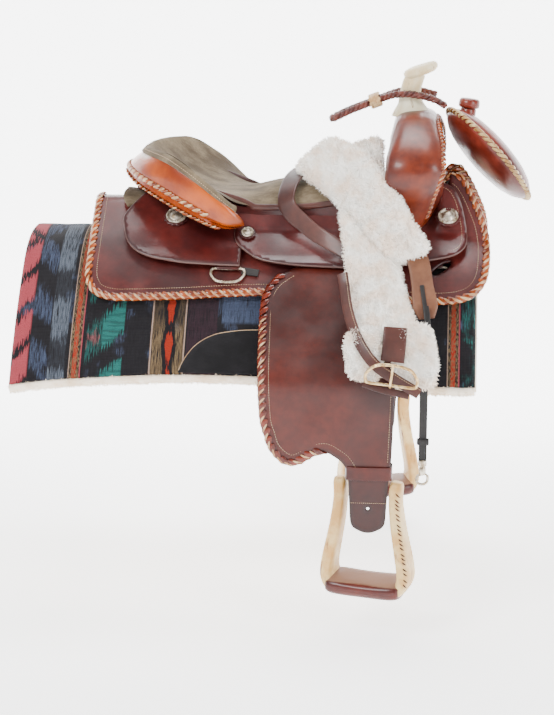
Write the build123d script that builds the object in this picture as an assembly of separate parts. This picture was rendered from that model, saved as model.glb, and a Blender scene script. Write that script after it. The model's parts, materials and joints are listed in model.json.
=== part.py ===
from build123d import *
import math
import os

# Western riding saddle on its woven pad, with a fleece breast collar laid over it and
# a leather canteen hung from the horn.
# Frame: +X towards the horse's head, +Z up, +Y to the rider's left. The origin is the
# point where the pad's underside rests on the middle of the horse's back. Millimetres.

# ---------------------------------------------------------------- the horse-shaped arch
FLANK_R = 816.0          # radius of the flanks, at the pad's underside
PAD_CROWN_R = 141.4      # radius of the pad over the spine
PAD_CROWN_ANGLE = 41.5   # slope where the pad's crown meets the flank, degrees
ROOF_SLOPE = 38.0        # slope of the straight stretch beside the saddle's spine
ROOF_LENGTH = 66.8       # length of that stretch
CROWN_AT = 36.0          # offset at which the saddle's crown is measured
FRONT_FOLD = 6.0         # drop where the front of the skirts turns up to the fork
FRONT_SLOPE = 74.0       # slope of that upturned front

# layers, as offsets from the pad's underside
PAD_LINING = (0.0, 9.9)
PAD_SHELL = (10.0, 20.0)
SKIRT_LINING = (20.4, 31.9)
SKIRT = (32.0, 36.5)
RIGGING = (36.7, 40.7)
BARS = (36.7, 47.5)
JOCKEY = (48.0, 52.4)
ROSETTE = (52.5, 55.3)
CONCHO = (55.4, 61.0)

# ---------------------------------------------------------------- main sizes
PAD_REAR, PAD_FRONT = -472.0, 309.0
SKIRT_REAR, SKIRT_FRONT = -353.0, 323.0
SKIRT_DROP = 133.0
SKIRT_SPLIT_X = 258.0    # in front of this the skirts turn up to the fork
JOCKEY_SPLIT_X = 234.0   # and the front jockeys over it
SPINE_GAP = 0.6
LACE_D = 5.6             # whipstitch rope along the leather edges

FORK_X = (148.0, 256.0)
FORK_TOP = 233.0
FORK_SWELL = 160.0
FORK_LEATHER = 4.0
HORN_BASE = (191.0, 0.0, 226.0)
HORN_NECK_R = 17.5
HORN_CAP_R = 31.0
HORN_CAP_THICK = 17.0
HORN_CAP_TILT = -18.0

CANTLE_WALL = 24.0

LEATHER_X = (104.0, 164.0)    # stirrup leather, 60 mm wide
LEATHER_T = 3.9
FENDER_T = 3.4
FENDER_OFFSET = 41.2          # offset of the fender's back where it touches the arch
FENDER_TOUCH = 110.0          # drop of that touching line
FENDER_STRAIGHT = 125.7       # flat length below it, before the bend
FENDER_BEND_R = 100.0
FENDER_HANG = 88.0            # slope of the hanging lower part
SWING_X = 134.0               # x of the pivot on the bar and of the stirrup

STIRRUP_TURN = -15.0          # turn of the stirrup about the vertical
BOLT_R = 4.0
BOLT_LENGTH = 120.0

LARGE_CONCHO_R, SMALL_CONCHO_R = 19.0, 12.0

CANTEEN_R = 103.0
CANTEEN_HALF = 31.0
CANTEEN_C = (324.0, 0.0, 155.5)
CANTEEN_AXIS = (0.718, 0.280, 0.637)

STRAP_D = 12.0
TREAD = (126.0, 84.0, 36.0)   # width, depth and height of the stirrup tread

MIRROR = Plane.XZ
SIDES = {"right": -1, "left": 1}
FAR = 600.0

SLOPE = math.radians(ROOF_SLOPE)
FLANK_Y = -(FLANK_R - PAD_CROWN_R) * math.sin(math.radians(PAD_CROWN_ANGLE))
FLANK_Z = -PAD_CROWN_R - (FLANK_R - PAD_CROWN_R) * math.cos(math.radians(PAD_CROWN_ANGLE))
CROWN_R = FLANK_R - (ROOF_LENGTH * math.cos(SLOPE) - FLANK_Y) / math.sin(SLOPE)
CROWN_Z = FLANK_Z + (FLANK_R - CROWN_R) * math.cos(SLOPE) + ROOF_LENGTH * math.sin(SLOPE)
SPINE = -ROOF_LENGTH - SLOPE * (CROWN_R + CROWN_AT)


# ---------------------------------------------------------------- arch geometry
def flank(drop, out):
    """(y, z) on the flank; drop is measured down it from where the roof begins"""
    angle = SLOPE + drop / FLANK_R
    radius = FLANK_R + out
    return FLANK_Y + radius * math.sin(angle), FLANK_Z + radius * math.cos(angle)


def saddle_point(drop, out):
    """(y, z) on the saddle's own profile: flank, straight roof, then a tight crown"""
    if drop >= 0:
        return flank(drop, out)
    y, z = flank(0, out)
    if drop >= -ROOF_LENGTH:
        return y + drop * math.cos(SLOPE), z - drop * math.sin(SLOPE)
    angle = SLOPE * (drop - SPINE) / (-ROOF_LENGTH - SPINE)
    return (CROWN_R + out) * math.sin(angle), CROWN_Z + (CROWN_R + out) * math.cos(angle)


def front_point(drop, out):
    """(y, z) on the front of the skirts, which turns up steeply above the fold"""
    if drop >= FRONT_FOLD:
        return flank(drop, out)
    y, z = flank(FRONT_FOLD, out)
    rise = FRONT_FOLD - drop
    steep = math.radians(FRONT_SLOPE)
    return y - rise * math.cos(steep), z + rise * math.sin(steep)


def pad_point(drop, out):
    """(y, z) on the pad, whose crown is wider than the saddle's"""
    crown = math.radians(PAD_CROWN_ANGLE)
    start = (crown - SLOPE) * FLANK_R
    if drop >= start:
        return flank(drop, out)
    angle = crown + (drop - start) / PAD_CROWN_R
    radius = PAD_CROWN_R + out
    return radius * math.sin(angle), -PAD_CROWN_R + radius * math.cos(angle)


PAD_SPINE = (math.radians(PAD_CROWN_ANGLE) - SLOPE) * FLANK_R - math.radians(PAD_CROWN_ANGLE) * PAD_CROWN_R
PAD_START = (math.radians(PAD_CROWN_ANGLE) - SLOPE) * FLANK_R


def at_x0(point):
    return Vector(0, point[0], point[1])


def profile_edges(curve, breaks, start, end, out):
    """edges of one offset curve, from one drop to another"""
    stops = [start] + [b for b in breaks if start < b < end] + [end]
    edges = []
    for a, b in zip(stops, stops[1:]):
        ends = [at_x0(curve(d, out)) for d in (a, (a + b) / 2, b)]
        sag = (ends[0] + ends[2]) / 2 - ends[1]
        if sag.length < 1e-4:
            edges.append(Line(ends[0], ends[2]))
        else:
            edges.append(ThreePointArc(*ends))
    return edges


def band(curve, breaks, drops, layer, xs):
    """a sheet that follows the arch on the left side, between two drops and two x"""
    inner = profile_edges(curve, breaks, *drops, layer[0])
    outer = profile_edges(curve, breaks, *drops, layer[1])
    first = Line(at_x0(curve(drops[0], layer[0])), at_x0(curve(drops[0], layer[1])))
    last = Line(at_x0(curve(drops[1], layer[0])), at_x0(curve(drops[1], layer[1])))
    face = Face(Wire(inner + [last] + outer + [first]))
    solid = extrude(face, amount=xs[1] - xs[0], dir=(1, 0, 0))
    return Pos(xs[0], 0, 0) * solid


def saddle_band(drops, layer, xs):
    return band(saddle_point, (-ROOF_LENGTH, 0), drops, layer, xs)


def front_band(drops, layer, xs):
    return band(front_point, (FRONT_FOLD,), drops, layer, xs)


def side_prism(corners, radii):
    """a prism through the whole width, from its (x, z) corners"""
    points = [(x, 0, z) for x, z in corners]
    line = FilletPolyline(*points, radius=radii, close=True)
    return extrude(Face(Wire(line.edges())), amount=FAR, dir=(0, 1, 0), both=True)


def outline(corners, layer, curve=saddle_point):
    """a prism whose (x, drop, radius) corners lie on one layer"""
    mid = sum(layer) / 2
    flat = [(x, curve(drop, mid)[1]) for x, drop, _ in corners]
    return side_prism(flat, [r for _, _, r in corners])


def on_side(shape, side):
    """the left-hand shape, or its mirror image on the right"""
    return shape if side > 0 else mirror(shape, about=MIRROR)


def both(shape):
    return Compound(children=[shape, mirror(shape, about=MIRROR)])


def solids_of(*shapes):
    return Compound(children=[s for shape in shapes for s in shape.solids()])


def save(node, shape):
    export_step(shape, f"parts/{node}.step")


def surface_frame(x, drop, out, curve=saddle_point):
    """a plane on the left side with its z axis along the outward normal"""
    y0, z0 = curve(drop - 0.5, out)
    y1, z1 = curve(drop + 0.5, out)
    down = Vector(0, y1 - y0, z1 - z0).normalized()
    y, z = curve(drop, out)
    return Plane(origin=(x, y, z), x_dir=(1, 0, 0), z_dir=Vector(1, 0, 0).cross(down))


def ribbon(stations, thickness):
    """a strap through (point, half-width vector) stations, of one thickness"""
    count = len(stations)
    faces = []
    for i, (centre, half) in enumerate(stations):
        before = Vector(*stations[max(i - 1, 0)][0])
        after = Vector(*stations[min(i + 1, count - 1)][0])
        side = Vector(*half)
        up = (after - before).cross(side).normalized() * (thickness / 2)
        mid = Vector(*centre)
        corners = [mid + side + up, mid - side + up, mid - side - up, mid + side - up]
        faces.append(Wire(Polyline(*corners, close=True).edges()))
    return Solid.make_loft(faces, ruled=True)


def tube(points, radii, diameter):
    """a round cord along straight runs joined by tangent arcs"""
    path = FilletPolyline(*points, radius=radii)
    start = Plane(origin=path @ 0, z_dir=path % 0)
    return sweep(start * Circle(diameter / 2), path=path)


# ---------------------------------------------------------------- saddle pad
def pad_layer(layer):
    """one layer of the pad, with its softly waved hem"""
    hem = pad_point(277, 10)[1]
    half = band(pad_point, (PAD_START,), (PAD_SPINE, 300.0), layer, (PAD_REAR, PAD_FRONT))
    whole = half + mirror(half, about=MIRROR)
    corners = [
        (PAD_REAR, FAR), (PAD_REAR + 6, hem - 9), (-382, hem), (-232, hem + 9),
        (-48, hem + 10), (176, hem + 1), (PAD_FRONT, hem), (PAD_FRONT, FAR),
    ]
    radii = [1, 12, 90, 90, 200, 200, 8, 1]
    return whole & side_prism(corners, radii)


def pad_wear_leather():
    """D-shaped wear patch under the fender, on the left"""
    layer = (PAD_SHELL[1] + 0.1, PAD_SHELL[1] + 2.1)
    sheet = band(pad_point, (PAD_START,), (150, 258), layer, (-150, 110))
    corners = [(-150, 262, 2), (-140, 180, 60), (-90, 146, 60), (60, 146, 60), (105, 180, 60), (110, 262, 2)]
    return sheet & outline(corners, layer, pad_point)


# ---------------------------------------------------------------- skirts
SKIRT_CORNERS = [
    (SKIRT_REAR - 1, SKIRT_DROP, 48), (-55, 119, 300), (232, SKIRT_DROP - 1, 200),
    (SKIRT_FRONT + 1, 126, 55),
]


def skirt_sheet(layer, inset):
    """one skirt on the left: over the back, and turned up to the fork in front"""
    rear = SKIRT_REAR + inset
    front = SKIRT_FRONT - inset
    mid = sum(layer) / 2
    body = saddle_band((SPINE + SPINE_GAP, SKIRT_DROP + 10), layer, (rear, SKIRT_SPLIT_X))
    nose = front_band((FRONT_FOLD - 104, SKIRT_DROP + 10), layer, (SKIRT_SPLIT_X, front))
    hem = [
        (x + math.copysign(inset, -x), flank(drop - inset, mid)[1])
        for x, drop, _ in SKIRT_CORNERS
    ]
    fold = flank(FRONT_FOLD, mid)[1]
    edge = [
        (front, fold + 8), (front - 15, fold + 49), (front - 51, fold + 102),
        (SKIRT_SPLIT_X - 6, fold + 100), (SKIRT_SPLIT_X - 10, FAR), (rear, FAR),
    ]
    radii = [r for _, _, r in SKIRT_CORNERS] + [30, 30, 12, 6, 1, 1]
    return (body + nose) & side_prism(hem + edge, radii)


def rigging_slot():
    """oval hole in the front of the skirt, over the rigging ring"""
    frame = surface_frame(242, 70, SKIRT_LINING[1] - 1)
    return extrude(frame * SlotOverall(38, 22), amount=8)


def skirt(side):
    return on_side(skirt_sheet(SKIRT, 0) - rigging_slot(), side)


def skirt_lining(side):
    """fleece lining, with a pocket for the front rigging"""
    pocket = saddle_band((20, 94), (21.5, 33), (206, 266))
    return on_side(skirt_sheet(SKIRT_LINING, 4) - rigging_slot() - pocket, side)


# ---------------------------------------------------------------- tree
def tree_bars():
    """the two bars that carry the saddle on the horse's back"""
    sheet = saddle_band((-45, 20), BARS, (-262, 250))
    corners = [(-262, 20, 20), (250, 20, 20), (250, -45, 20), (-262, -45, 20)]
    return both(sheet & outline(corners, BARS))


def fork_shape(inset):
    """the swell fork: a front-view arch cut to a barrel-shaped side view"""
    lift = -inset
    outer = Spline(
        (0, 0, FORK_TOP + lift), (0, 72, 221 + lift), (0, 128 + lift, 190 + lift),
        (0, FORK_SWELL + lift, 148), (0, 150 + lift, 105), (0, 110 + lift, 30 + inset / 2),
        tangents=((0, 1, 0), (0, -0.5, -0.86)),
    )
    foot = (0, 84 + inset, 30 + inset / 2)
    inner = Spline(
        foot, (0, 74 + inset, 88), (0, 44 + inset, 128 + inset), (0, 0, 143 + inset),
        tangents=((0, -0.1, 1), (0, -1, 0)),
    )
    base = Line(outer @ 1, foot)
    middle = Line(inner @ 1, outer @ 0)
    half = extrude(Face(Wire([outer, base, inner, middle])), amount=FAR, dir=(1, 0, 0))
    arch = half + mirror(half, about=MIRROR)
    rear, front = FORK_X[0] + inset, FORK_X[1] - inset
    side = Spline(
        (rear + 22, 0, 16), (rear + 1, 0, 120), (rear + 14, 0, FORK_TOP + 4),
        tangents=((-0.45, 0, 1), (0.3, 0, 1)),
    )
    nose = Spline(
        (front - 18, 0, FORK_TOP + 4), (front, 0, 150), (front - 14, 0, 92), (front - 42, 0, 16),
        tangents=((0.3, 0, -1), (-0.5, 0, -1)),
    )
    barrel = Face(Wire([side, Line(side @ 1, nose @ 0), nose, Line(nose @ 1, side @ 0)]))
    return arch & extrude(barrel, amount=FAR, dir=(0, 1, 0), both=True)


def horn_post():
    """steel post inside the horn, foot in the fork"""
    x, y, z = HORN_BASE
    return Pos(x, y, z - 24) * Cylinder(9, 84, align=(Align.CENTER, Align.CENTER, Align.MIN))


def under_fork():
    """everything below the top of the bars, which the fork stands on"""
    return both(saddle_band((-60, 60), (0, BARS[1]), (FORK_X[0] - 20, FORK_X[1] + 20)))


def tree_fork():
    return fork_shape(FORK_LEATHER) - horn_post() - under_fork()


def fork_cover():
    return fork_shape(0) - fork_shape(FORK_LEATHER) - horn_post() - under_fork()


def horn_neck():
    """rawhide-wrapped neck, flared where it stands on the fork"""
    x, _, z = HORN_BASE
    rings = [
        Pos(x, 0, z) * Circle(31), Pos(x - 1, 0, z + 16) * Circle(21),
        Pos(x - 3, 0, z + 36) * Circle(HORN_NECK_R), Pos(x - 1, 0, z + 56) * Circle(HORN_NECK_R),
        Pos(x + 3, 0, z + 66) * Circle(HORN_NECK_R + 3),
    ]
    return loft(rings, ruled=True) - horn_post() - fork_shape(0)


def horn_cap():
    """round cap, its front edge raised"""
    x, _, z = HORN_BASE
    disc = fillet(Cylinder(HORN_CAP_R, HORN_CAP_THICK).edges(), HORN_CAP_THICK * 0.42)
    place = Pos(x + 13, 0, z + 72) * Rot(0, HORN_CAP_TILT, 0)
    return place * disc - horn_neck() - horn_post()


# ---------------------------------------------------------------- cantle and seat
# (x, y, z) of the cantle's rim and of its lower edge, from the middle to the left tip
CANTLE_RIM = [
    (-262, 0, 160), (-250, 58, 165), (-207, 116, 160), (-158, 142, 131),
    (-112, 144, 90), (-78, 130, 57),
]
CANTLE_FOOT = [
    (-296, 0, 121), (-272, 66, 108), (-218, 112, 84), (-168, 131, 61),
    (-124, 133, 44), (-84, 122, 41),
]
CANTLE_MID = (-110.0, 0.0)


def cantle_ring(depth, start):
    """the upstanding wall between rim and foot, from one depth inside it to another"""
    loops = []
    for rim, foot in zip(CANTLE_RIM, CANTLE_FOOT):
        inward = Vector(CANTLE_MID[0] - rim[0], -rim[1], 0).normalized()
        near, far = inward * start, inward * depth
        top, low = Vector(*rim), Vector(*foot)
        loops.append(Wire(Polyline(top + near, low + near, low + far, top + far, close=True).edges()))
    half = Solid.make_loft(loops, ruled=True)
    return half + mirror(half, about=MIRROR)


def tree_cantle():
    return cantle_ring(CANTLE_WALL - 6, 8)


def cantle_roll():
    """padded leather roll round the outside of the cantle"""
    return cantle_ring(7.9, 0)


# half sections of the seat: x, half-width, half-width at its foot, then heights at the
# middle, at 0.6 of the half-width and at its edge
SEAT_SECTIONS = [
    (-236, 44, 28, 141, 143, 146), (-205, 86, 42, 112, 126, 140), (-172, 106, 46, 99, 112, 130),
    (-110, 108, 100, 96, 98, 100), (-60, 92, 92, 98, 92, 76), (0, 86, 86, 108, 98, 75),
    (60, 80, 80, 122, 110, 82), (132, 74, 74, 134, 124, 92),
]
SEAT_CREST = 19.0
SEAT_FLOOR = 52.8


def roof_height(y, out):
    """height of the straight roof at a distance from the spine"""
    edge_y, edge_z = flank(0, out)
    return edge_z + (edge_y - y) * math.tan(SLOPE)


def seat_body():
    """the seat: a dish inside the cantle that rises over the fork in front"""
    loops = []
    for x, half, foot, middle, shoulder, edge in SEAT_SECTIONS:
        floor = roof_height(foot, SEAT_FLOOR)
        top = [(half, edge), (0.6 * half, shoulder), (0, middle), (-0.6 * half, shoulder), (-half, edge)]
        crest = roof_height(SEAT_CREST, SEAT_FLOOR)
        low = [(-foot, floor), (-SEAT_CREST, crest), (SEAT_CREST, crest), (foot, floor)]
        corners = [(x, y, z) for y, z in top + low]
        loops.append(Wire(Polyline(*corners, close=True).edges()))
    return Solid.make_loft(loops, ruled=True)


def seat():
    return seat_body() - cantle_ring(CANTLE_WALL + 60, 0) - fork_shape(0)


# ---------------------------------------------------------------- jockeys
def rear_jockey():
    sheet = saddle_band((SPINE + SPINE_GAP, 80), JOCKEY, (-300, -94))
    corners = [(-300, 54, 40), (-230, 72, 60), (-94, 77, 4), (-94, FAR, 1), (-300, FAR, 1)]
    mid = sum(JOCKEY) / 2
    flat = [(x, saddle_point(d, mid)[1] if d < FAR else FAR) for x, d, _ in corners]
    return sheet & side_prism(flat, [r for _, _, r in corners])


def seat_jockey():
    sheet = saddle_band((2, 82), JOCKEY, (-92, 148))
    corners = [(-92, 58, 30), (-40, 76, 60), (148, 80, 4), (148, 2, 2), (-92, 2, 6)]
    return sheet & outline(corners, JOCKEY)


def front_jockey():
    """leaf in front of the seat jockey, turned up over the foot of the fork"""
    low = saddle_band((14, 82), JOCKEY, (150, JOCKEY_SPLIT_X))
    nose = front_band((FRONT_FOLD - 84, 82), JOCKEY, (JOCKEY_SPLIT_X, 290))
    mid = sum(JOCKEY) / 2
    fold = flank(FRONT_FOLD, mid)[1]
    flat = [
        (150, flank(79, mid)[1]), (225, flank(66, mid)[1]), (288, flank(50, mid)[1]),
        (286, fold), (276, fold + 56), (260, fold + 74), (252, fold + 66), (JOCKEY_SPLIT_X, fold + 6),
        (150, fold - 4),
    ]
    leaf = (low + nose) & side_prism(flat, [4, 60, 26, 60, 14, 5, 14, 8, 2])
    return leaf - fork_shape(0)


# ---------------------------------------------------------------- conchos
CONCHO_PLACES = {
    "rear": (-211, -24, saddle_point), "mid": (-76, 24, saddle_point), "front": (259, -20, front_point),
}


def disc_stack(radius, layer, dome):
    """a disc that stands on a surface frame; dome rounds its upper rim"""
    disc = Cylinder(radius, layer[1] - layer[0], align=(Align.CENTER, Align.CENTER, Align.MIN))
    if dome:
        disc = fillet(disc.edges().group_by(Axis.Z)[-1], dome)
    return disc


def concho_set(names, radius, layer, dome):
    found = []
    for name in names:
        x, drop, curve = CONCHO_PLACES[name]
        frame = surface_frame(x, drop, ROSETTE[0] + 0.3, curve)
        found.append(frame * Pos(0, 0, layer[0] - ROSETTE[0]) * disc_stack(radius, layer, dome))
    return solids_of(*[both(s) for s in found])


# ---------------------------------------------------------------- rigging
# x of the middle, drop of the hinge line, half length, reach below it, wire diameter
REAR_DEE = (-112.0, 78.0, 28.0, 27.0, 5.5)
FRONT_DEE = (236.0, 58.0, 22.0, 24.0, 4.5)
REAR_DEE_OUT, FRONT_DEE_OUT = 42.3, 26.9


def wire_dee(half, reach, wire):
    """flat half-round dee of one wire, its straight bar along x, its bow towards +y"""
    corners = [
        (0, 0, 0), (half, 0, 0), (half, reach * 0.6, 0), (half * 0.45, reach, 0), (0, reach, 0),
    ]
    path = FilletPolyline(*corners, radius=[wire * 1.2, half * 0.45, half * 0.6])
    start = Plane(origin=(0, 0, 0), z_dir=(1, 0, 0))
    one = sweep(start * Circle(wire / 2), path=path)
    return one + mirror(one, about=Plane.YZ)


def dee(size, out):
    x, drop, half, reach, wire = size
    return surface_frame(x, drop, out) * wire_dee(half, reach, wire)


def rigging_strap(size, out, layer, skin):
    """leather loop round the dee's bar, riveted to the skirt above it"""
    x, drop, half, _, wire = size
    width = (x - half + 8, x + half - 8)
    frame = surface_frame(x, drop, out)
    span = width[1] - width[0]
    bore = wire / 2 + 0.4
    grip = frame * (Rot(0, 90, 0) * (Cylinder(bore + skin, span) - Cylinder(bore, span)))
    tab = saddle_band((drop - 32, drop - bore - 0.5), layer, width)
    return tab + grip


# ---------------------------------------------------------------- fenders
TOUCH_ANGLE = SLOPE + FENDER_TOUCH / FLANK_R
HANG_ANGLE = math.radians(FENDER_HANG)
BEND_LENGTH = FENDER_BEND_R * (HANG_ANGLE - TOUCH_ANGLE)
BEND_START, BEND_END = FENDER_STRAIGHT, FENDER_STRAIGHT + BEND_LENGTH
LOOP_Z = -362.0
LOOP_OUT = -21.0
LOOP_HALF = 30.0
LOOP_TOP = 17.0          # height of the folded loop above the bolt


def fender_point(run, out):
    """(y, z) on the fender; run is measured down from where it touches the arch"""
    y, z = flank(FENDER_TOUCH, FENDER_OFFSET + out)
    straight = min(run, BEND_START)
    y += straight * math.cos(TOUCH_ANGLE)
    z -= straight * math.sin(TOUCH_ANGLE)
    if run <= BEND_START:
        return y, z
    angle = min(TOUCH_ANGLE + (run - BEND_START) / FENDER_BEND_R, HANG_ANGLE)
    radius = FENDER_BEND_R + out
    y += radius * (math.sin(angle) - math.sin(TOUCH_ANGLE))
    z += radius * (math.cos(angle) - math.cos(TOUCH_ANGLE))
    if run <= BEND_END:
        return y, z
    return y + (run - BEND_END) * math.cos(HANG_ANGLE), z - (run - BEND_END) * math.sin(HANG_ANGLE)


def fender_band(runs, layer, xs):
    return band(fender_point, (BEND_START, BEND_END), runs, layer, xs)


def run_at(z):
    """run of the hanging part at one height"""
    return BEND_END + (fender_point(BEND_END, 0)[1] - z) / math.sin(HANG_ANGLE)


# (x, z, corner radius) round the fender's visible outline, from its hidden top
FENDER_OUTLINE = [
    (0, 4, 8), (-32, -24, 12), (-48, -60, 30), (-43, -250, 200), (-30, -306, 28),
    (6, -324, 40), (58, -296, 60), (103, -326, 10), (103, -345, 1), (166, -345, 1), (168, -318, 10),
    (176, -260, 90), (176, -200, 100), (167, -50, 60), (160, 4, 8),
]
# the narrow tail that hangs in front of the stirrup's bolt
TAIL_OUTLINE = [(104, -330, 1), (105, -432, 27), (163, -432, 27), (164, -330, 1)]


def drawn(corners):
    return side_prism([(x, z) for x, z, _ in corners], [r for _, _, r in corners])


def fender(side):
    """leather fender that the rider's leg lies on, with its stitched tail"""
    sheet = fender_band((-44, run_at(-440)), (0, FENDER_T), (-60, 190))
    hole = Pos(136, 0, -408) * Rot(90, 0, 0) * Cylinder(2.6, FAR * 2)
    shape = sheet & drawn(FENDER_OUTLINE)
    tail = sheet & drawn(TAIL_OUTLINE)
    return on_side(shape + tail - hole, side)


def stirrup_place(side):
    """frame at the bolt's middle; its x axis lies along the bolt"""
    y = fender_point(run_at(LOOP_Z), LOOP_OUT)[0]
    return Pos(SWING_X, side * y, LOOP_Z) * Rot(0, 0, -side * STIRRUP_TURN)


def stirrup_leather(side):
    """strap from the tree bar down to the bolt, folded round it and back up"""
    strap = on_side(fender_band((-70, run_at(LOOP_Z + LOOP_TOP)), (-LEATHER_T, -0.1), LEATHER_X), side)
    plies = fender_band((run_at(HOBBLE_Z + 10), run_at(LOOP_Z + LOOP_TOP)), (-26, -0.1), LEATHER_X)
    fold = Rot(0, 90, 0) * Cylinder(BOLT_R + 4.5, LOOP_HALF * 2)
    walls = Pos(0, 0, LOOP_TOP / 2 + 0.5) * Box(LOOP_HALF * 2, 2 * BOLT_R + 9, LOOP_TOP + 1)
    inside = Pos(0, 0, LOOP_TOP / 2 - 1) * Box(LOOP_HALF * 2, 2 * BOLT_R + 1, LOOP_TOP - 2)
    bore = Rot(0, 90, 0) * Cylinder(BOLT_R + 0.5, LOOP_HALF * 2)
    return strap + on_side(plies, side) + stirrup_place(side) * (fold + walls - inside - bore)


HOBBLE_Z, HOBBLE_HEIGHT = -333.0, 22.0


def hobble_strap(side):
    """keeper strap buckled round the leathers just above the stirrup"""
    y, z = fender_point(run_at(HOBBLE_Z), 0)
    x = sum(LEATHER_X) / 2
    width = LEATHER_X[1] - LEATHER_X[0]
    outer = Box(width + 15, 40, HOBBLE_HEIGHT)
    inner = Box(width + 9, 34, 2 * HOBBLE_HEIGHT)
    return Pos(x, side * (y - 11.5), z) * (outer - inner)


# ---------------------------------------------------------------- edge lacings
def edge_rope(points, radii, diameter=LACE_D):
    """plain rope that stands for the whipstitches along an edge"""
    return tube(points, radii, diameter)


def skirt_lacing():
    """rope round the rear, bottom and front edges of the skirt"""
    mid = sum(SKIRT) / 2
    out = LACE_D / 2 + 0.4
    places = [
        (SKIRT_REAR - out, -84, saddle_point), (SKIRT_REAR - out, -56, saddle_point),
        (SKIRT_REAR - out, 30, saddle_point), (SKIRT_REAR - out - 1, 137, saddle_point),
        (-55, 123, saddle_point), (232, 136, saddle_point), (SKIRT_FRONT + out + 1, 130, saddle_point),
        (SKIRT_FRONT + out, 0, front_point), (309, -44, front_point), (274, -100, front_point),
    ]
    points = [(x, *curve(drop, mid)) for x, drop, curve in places]
    rope = edge_rope(points, [20, 400, 48, 300, 200, 55, 30, 60])
    return rope - skirt_sheet(SKIRT, 0) - skirt_sheet(SKIRT_LINING, 4)


def cantle_lacing():
    """rope along the lower edge of the cantle roll"""
    half = [(x - 3, y + 3, z - 2) for x, y, z in CANTLE_FOOT[1:-1]]
    points = [(x, -y, z) for x, y, z in reversed(half)] + [(CANTLE_FOOT[0][0] - 5, 0, CANTLE_FOOT[0][2] - 2)] + half
    rope = edge_rope(points, 12, LACE_D + 1)
    return rope - cantle_roll() - tree_cantle()


def fork_lacing():
    """rope down the front edge of the fork's cover"""
    half = [(244, 38, 229), (250, 112, 203), (257, 150, 150)]
    points = [(x, -y, z) for x, y, z in reversed(half)] + [(243, 0, 235)] + half
    return edge_rope(points, 20, LACE_D - 2) - fork_shape(0)


def fender_lacing():
    """rope along the rear and lower rear edges of the fender"""
    places = [
        (-38, -26), (-50, 20), (-50, 110), (-49, run_at(-200)), (-47, run_at(-250)),
        (-34, run_at(-308)), (5, run_at(-328)), (54, run_at(-301)),
    ]
    route = [(x - 2, *fender_point(run, FENDER_T / 2)) for x, run in places]
    return edge_rope(route, 10, LACE_D + 1.4)


# ---------------------------------------------------------------- stirrups
LEG_TOP, LEG_FOOT = 12.0, -178.0


def stirrup_shape():
    """bell shape, open at the top, in its own frame"""
    points = [
        (-62, LEG_TOP - 8, 4), (-58, -30, 30), (-79, -150, 20), (-72, LEG_FOOT, 10),
        (72, LEG_FOOT, 10), (79, -150, 20), (58, -30, 30), (62, LEG_TOP - 8, 4), (50, LEG_TOP, 3),
        (39, LEG_TOP - 2, 3), (37, -36, 30), (55, -158, 12), (-55, -158, 12), (-37, -36, 30),
        (-39, LEG_TOP - 2, 3), (-50, LEG_TOP, 3),
    ]
    depth = [
        (-14, LEG_TOP + 1, 9), (-23, -90, 60), (-36, LEG_FOOT - 4, 6), (36, LEG_FOOT - 4, 6),
        (23, -90, 60), (14, LEG_TOP + 1, 9),
    ]
    profile = FilletPolyline(*[(0, y, z) for y, z, _ in depth], radius=[r for _, _, r in depth], close=True)
    bar = extrude(Face(Wire(profile.edges())), amount=FAR, dir=(1, 0, 0), both=True)
    return drawn(points) & bar


def stirrup_frame(side):
    """wooden stirrup under rawhide, bored for its bolt"""
    bore = Rot(0, 90, 0) * Cylinder(BOLT_R, 200)
    return stirrup_place(side) * (stirrup_shape() - bore)


def stirrup_bolt(side):
    """through bolt; its ends stop just inside the frame's outer faces"""
    return stirrup_place(side) * Rot(0, 90, 0) * Cylinder(BOLT_R - 0.02, BOLT_LENGTH)


def stirrup_tread(side):
    """leather-wrapped tread round the stirrup's foot bar"""
    block = Pos(0, 0, -172) * Box(TREAD[0], TREAD[1], TREAD[2])
    block = fillet(block.edges().filter_by(Axis.X), 14)
    return stirrup_place(side) * (block - stirrup_shape())


# ---------------------------------------------------------------- canteen on the horn
CANTEEN_FRAME = Plane(origin=CANTEEN_C, x_dir=(0.664, 0, -0.748), z_dir=CANTEEN_AXIS)


def canteen_half(sign):
    """one dished leather half; its rim meets the other half at the seam"""
    rim = CANTEEN_R - 3
    dome = Spline(
        (rim, 0, 3), (rim * 0.76, 0, CANTEEN_HALF * 0.74), (0, 0, CANTEEN_HALF),
        tangents=((-0.4, 0, 1), (-1, 0, 0)),
    )
    base = Polyline((0, 0, CANTEEN_HALF), (0, 0, 0.1), (rim, 0, 0.1), (rim, 0, 3))
    half = revolve(Face(Wire([dome] + base.edges())), Axis.Z)
    return CANTEEN_FRAME * (half if sign > 0 else mirror(half, about=Plane.XY))


def canteen_seam():
    """plain ring where the lacing joins the two halves"""
    ring = Torus(CANTEEN_R - 1, 4.2)
    return CANTEEN_FRAME * ring - canteen_half(1) - canteen_half(-1)


STOPPER_BASE = (288.0, 6.0, 228.0)
STOPPER_AXIS = (0.12, 0.04, 0.99)
STOPPER_FRAME = Plane(origin=STOPPER_BASE, x_dir=(0.99, 0, -0.12), z_dir=STOPPER_AXIS)
NECK_R, STOPPER_R = 13.0, 18.0


def canteen_front():
    """upper half with its short leather spout, bored for the stopper"""
    spout = STOPPER_FRAME * (Pos(0, 0, -3) * Cylinder(NECK_R, 15))
    return canteen_half(1) + spout - stopper_socket() - canteen_seam()


def stopper_socket():
    return STOPPER_FRAME * (Pos(0, 0, -2) * Cylinder(7.4, 20))


def canteen_stopper():
    """round leather-covered knob on a plug that pushes into the spout"""
    knob = Pos(0, 0, 13.6) * Cylinder(STOPPER_R, 16)
    knob = fillet(knob.edges(), 6)
    plug = Pos(0, 0, -1) * Cylinder(7.0, 16)
    return STOPPER_FRAME * (knob + plug)


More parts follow.
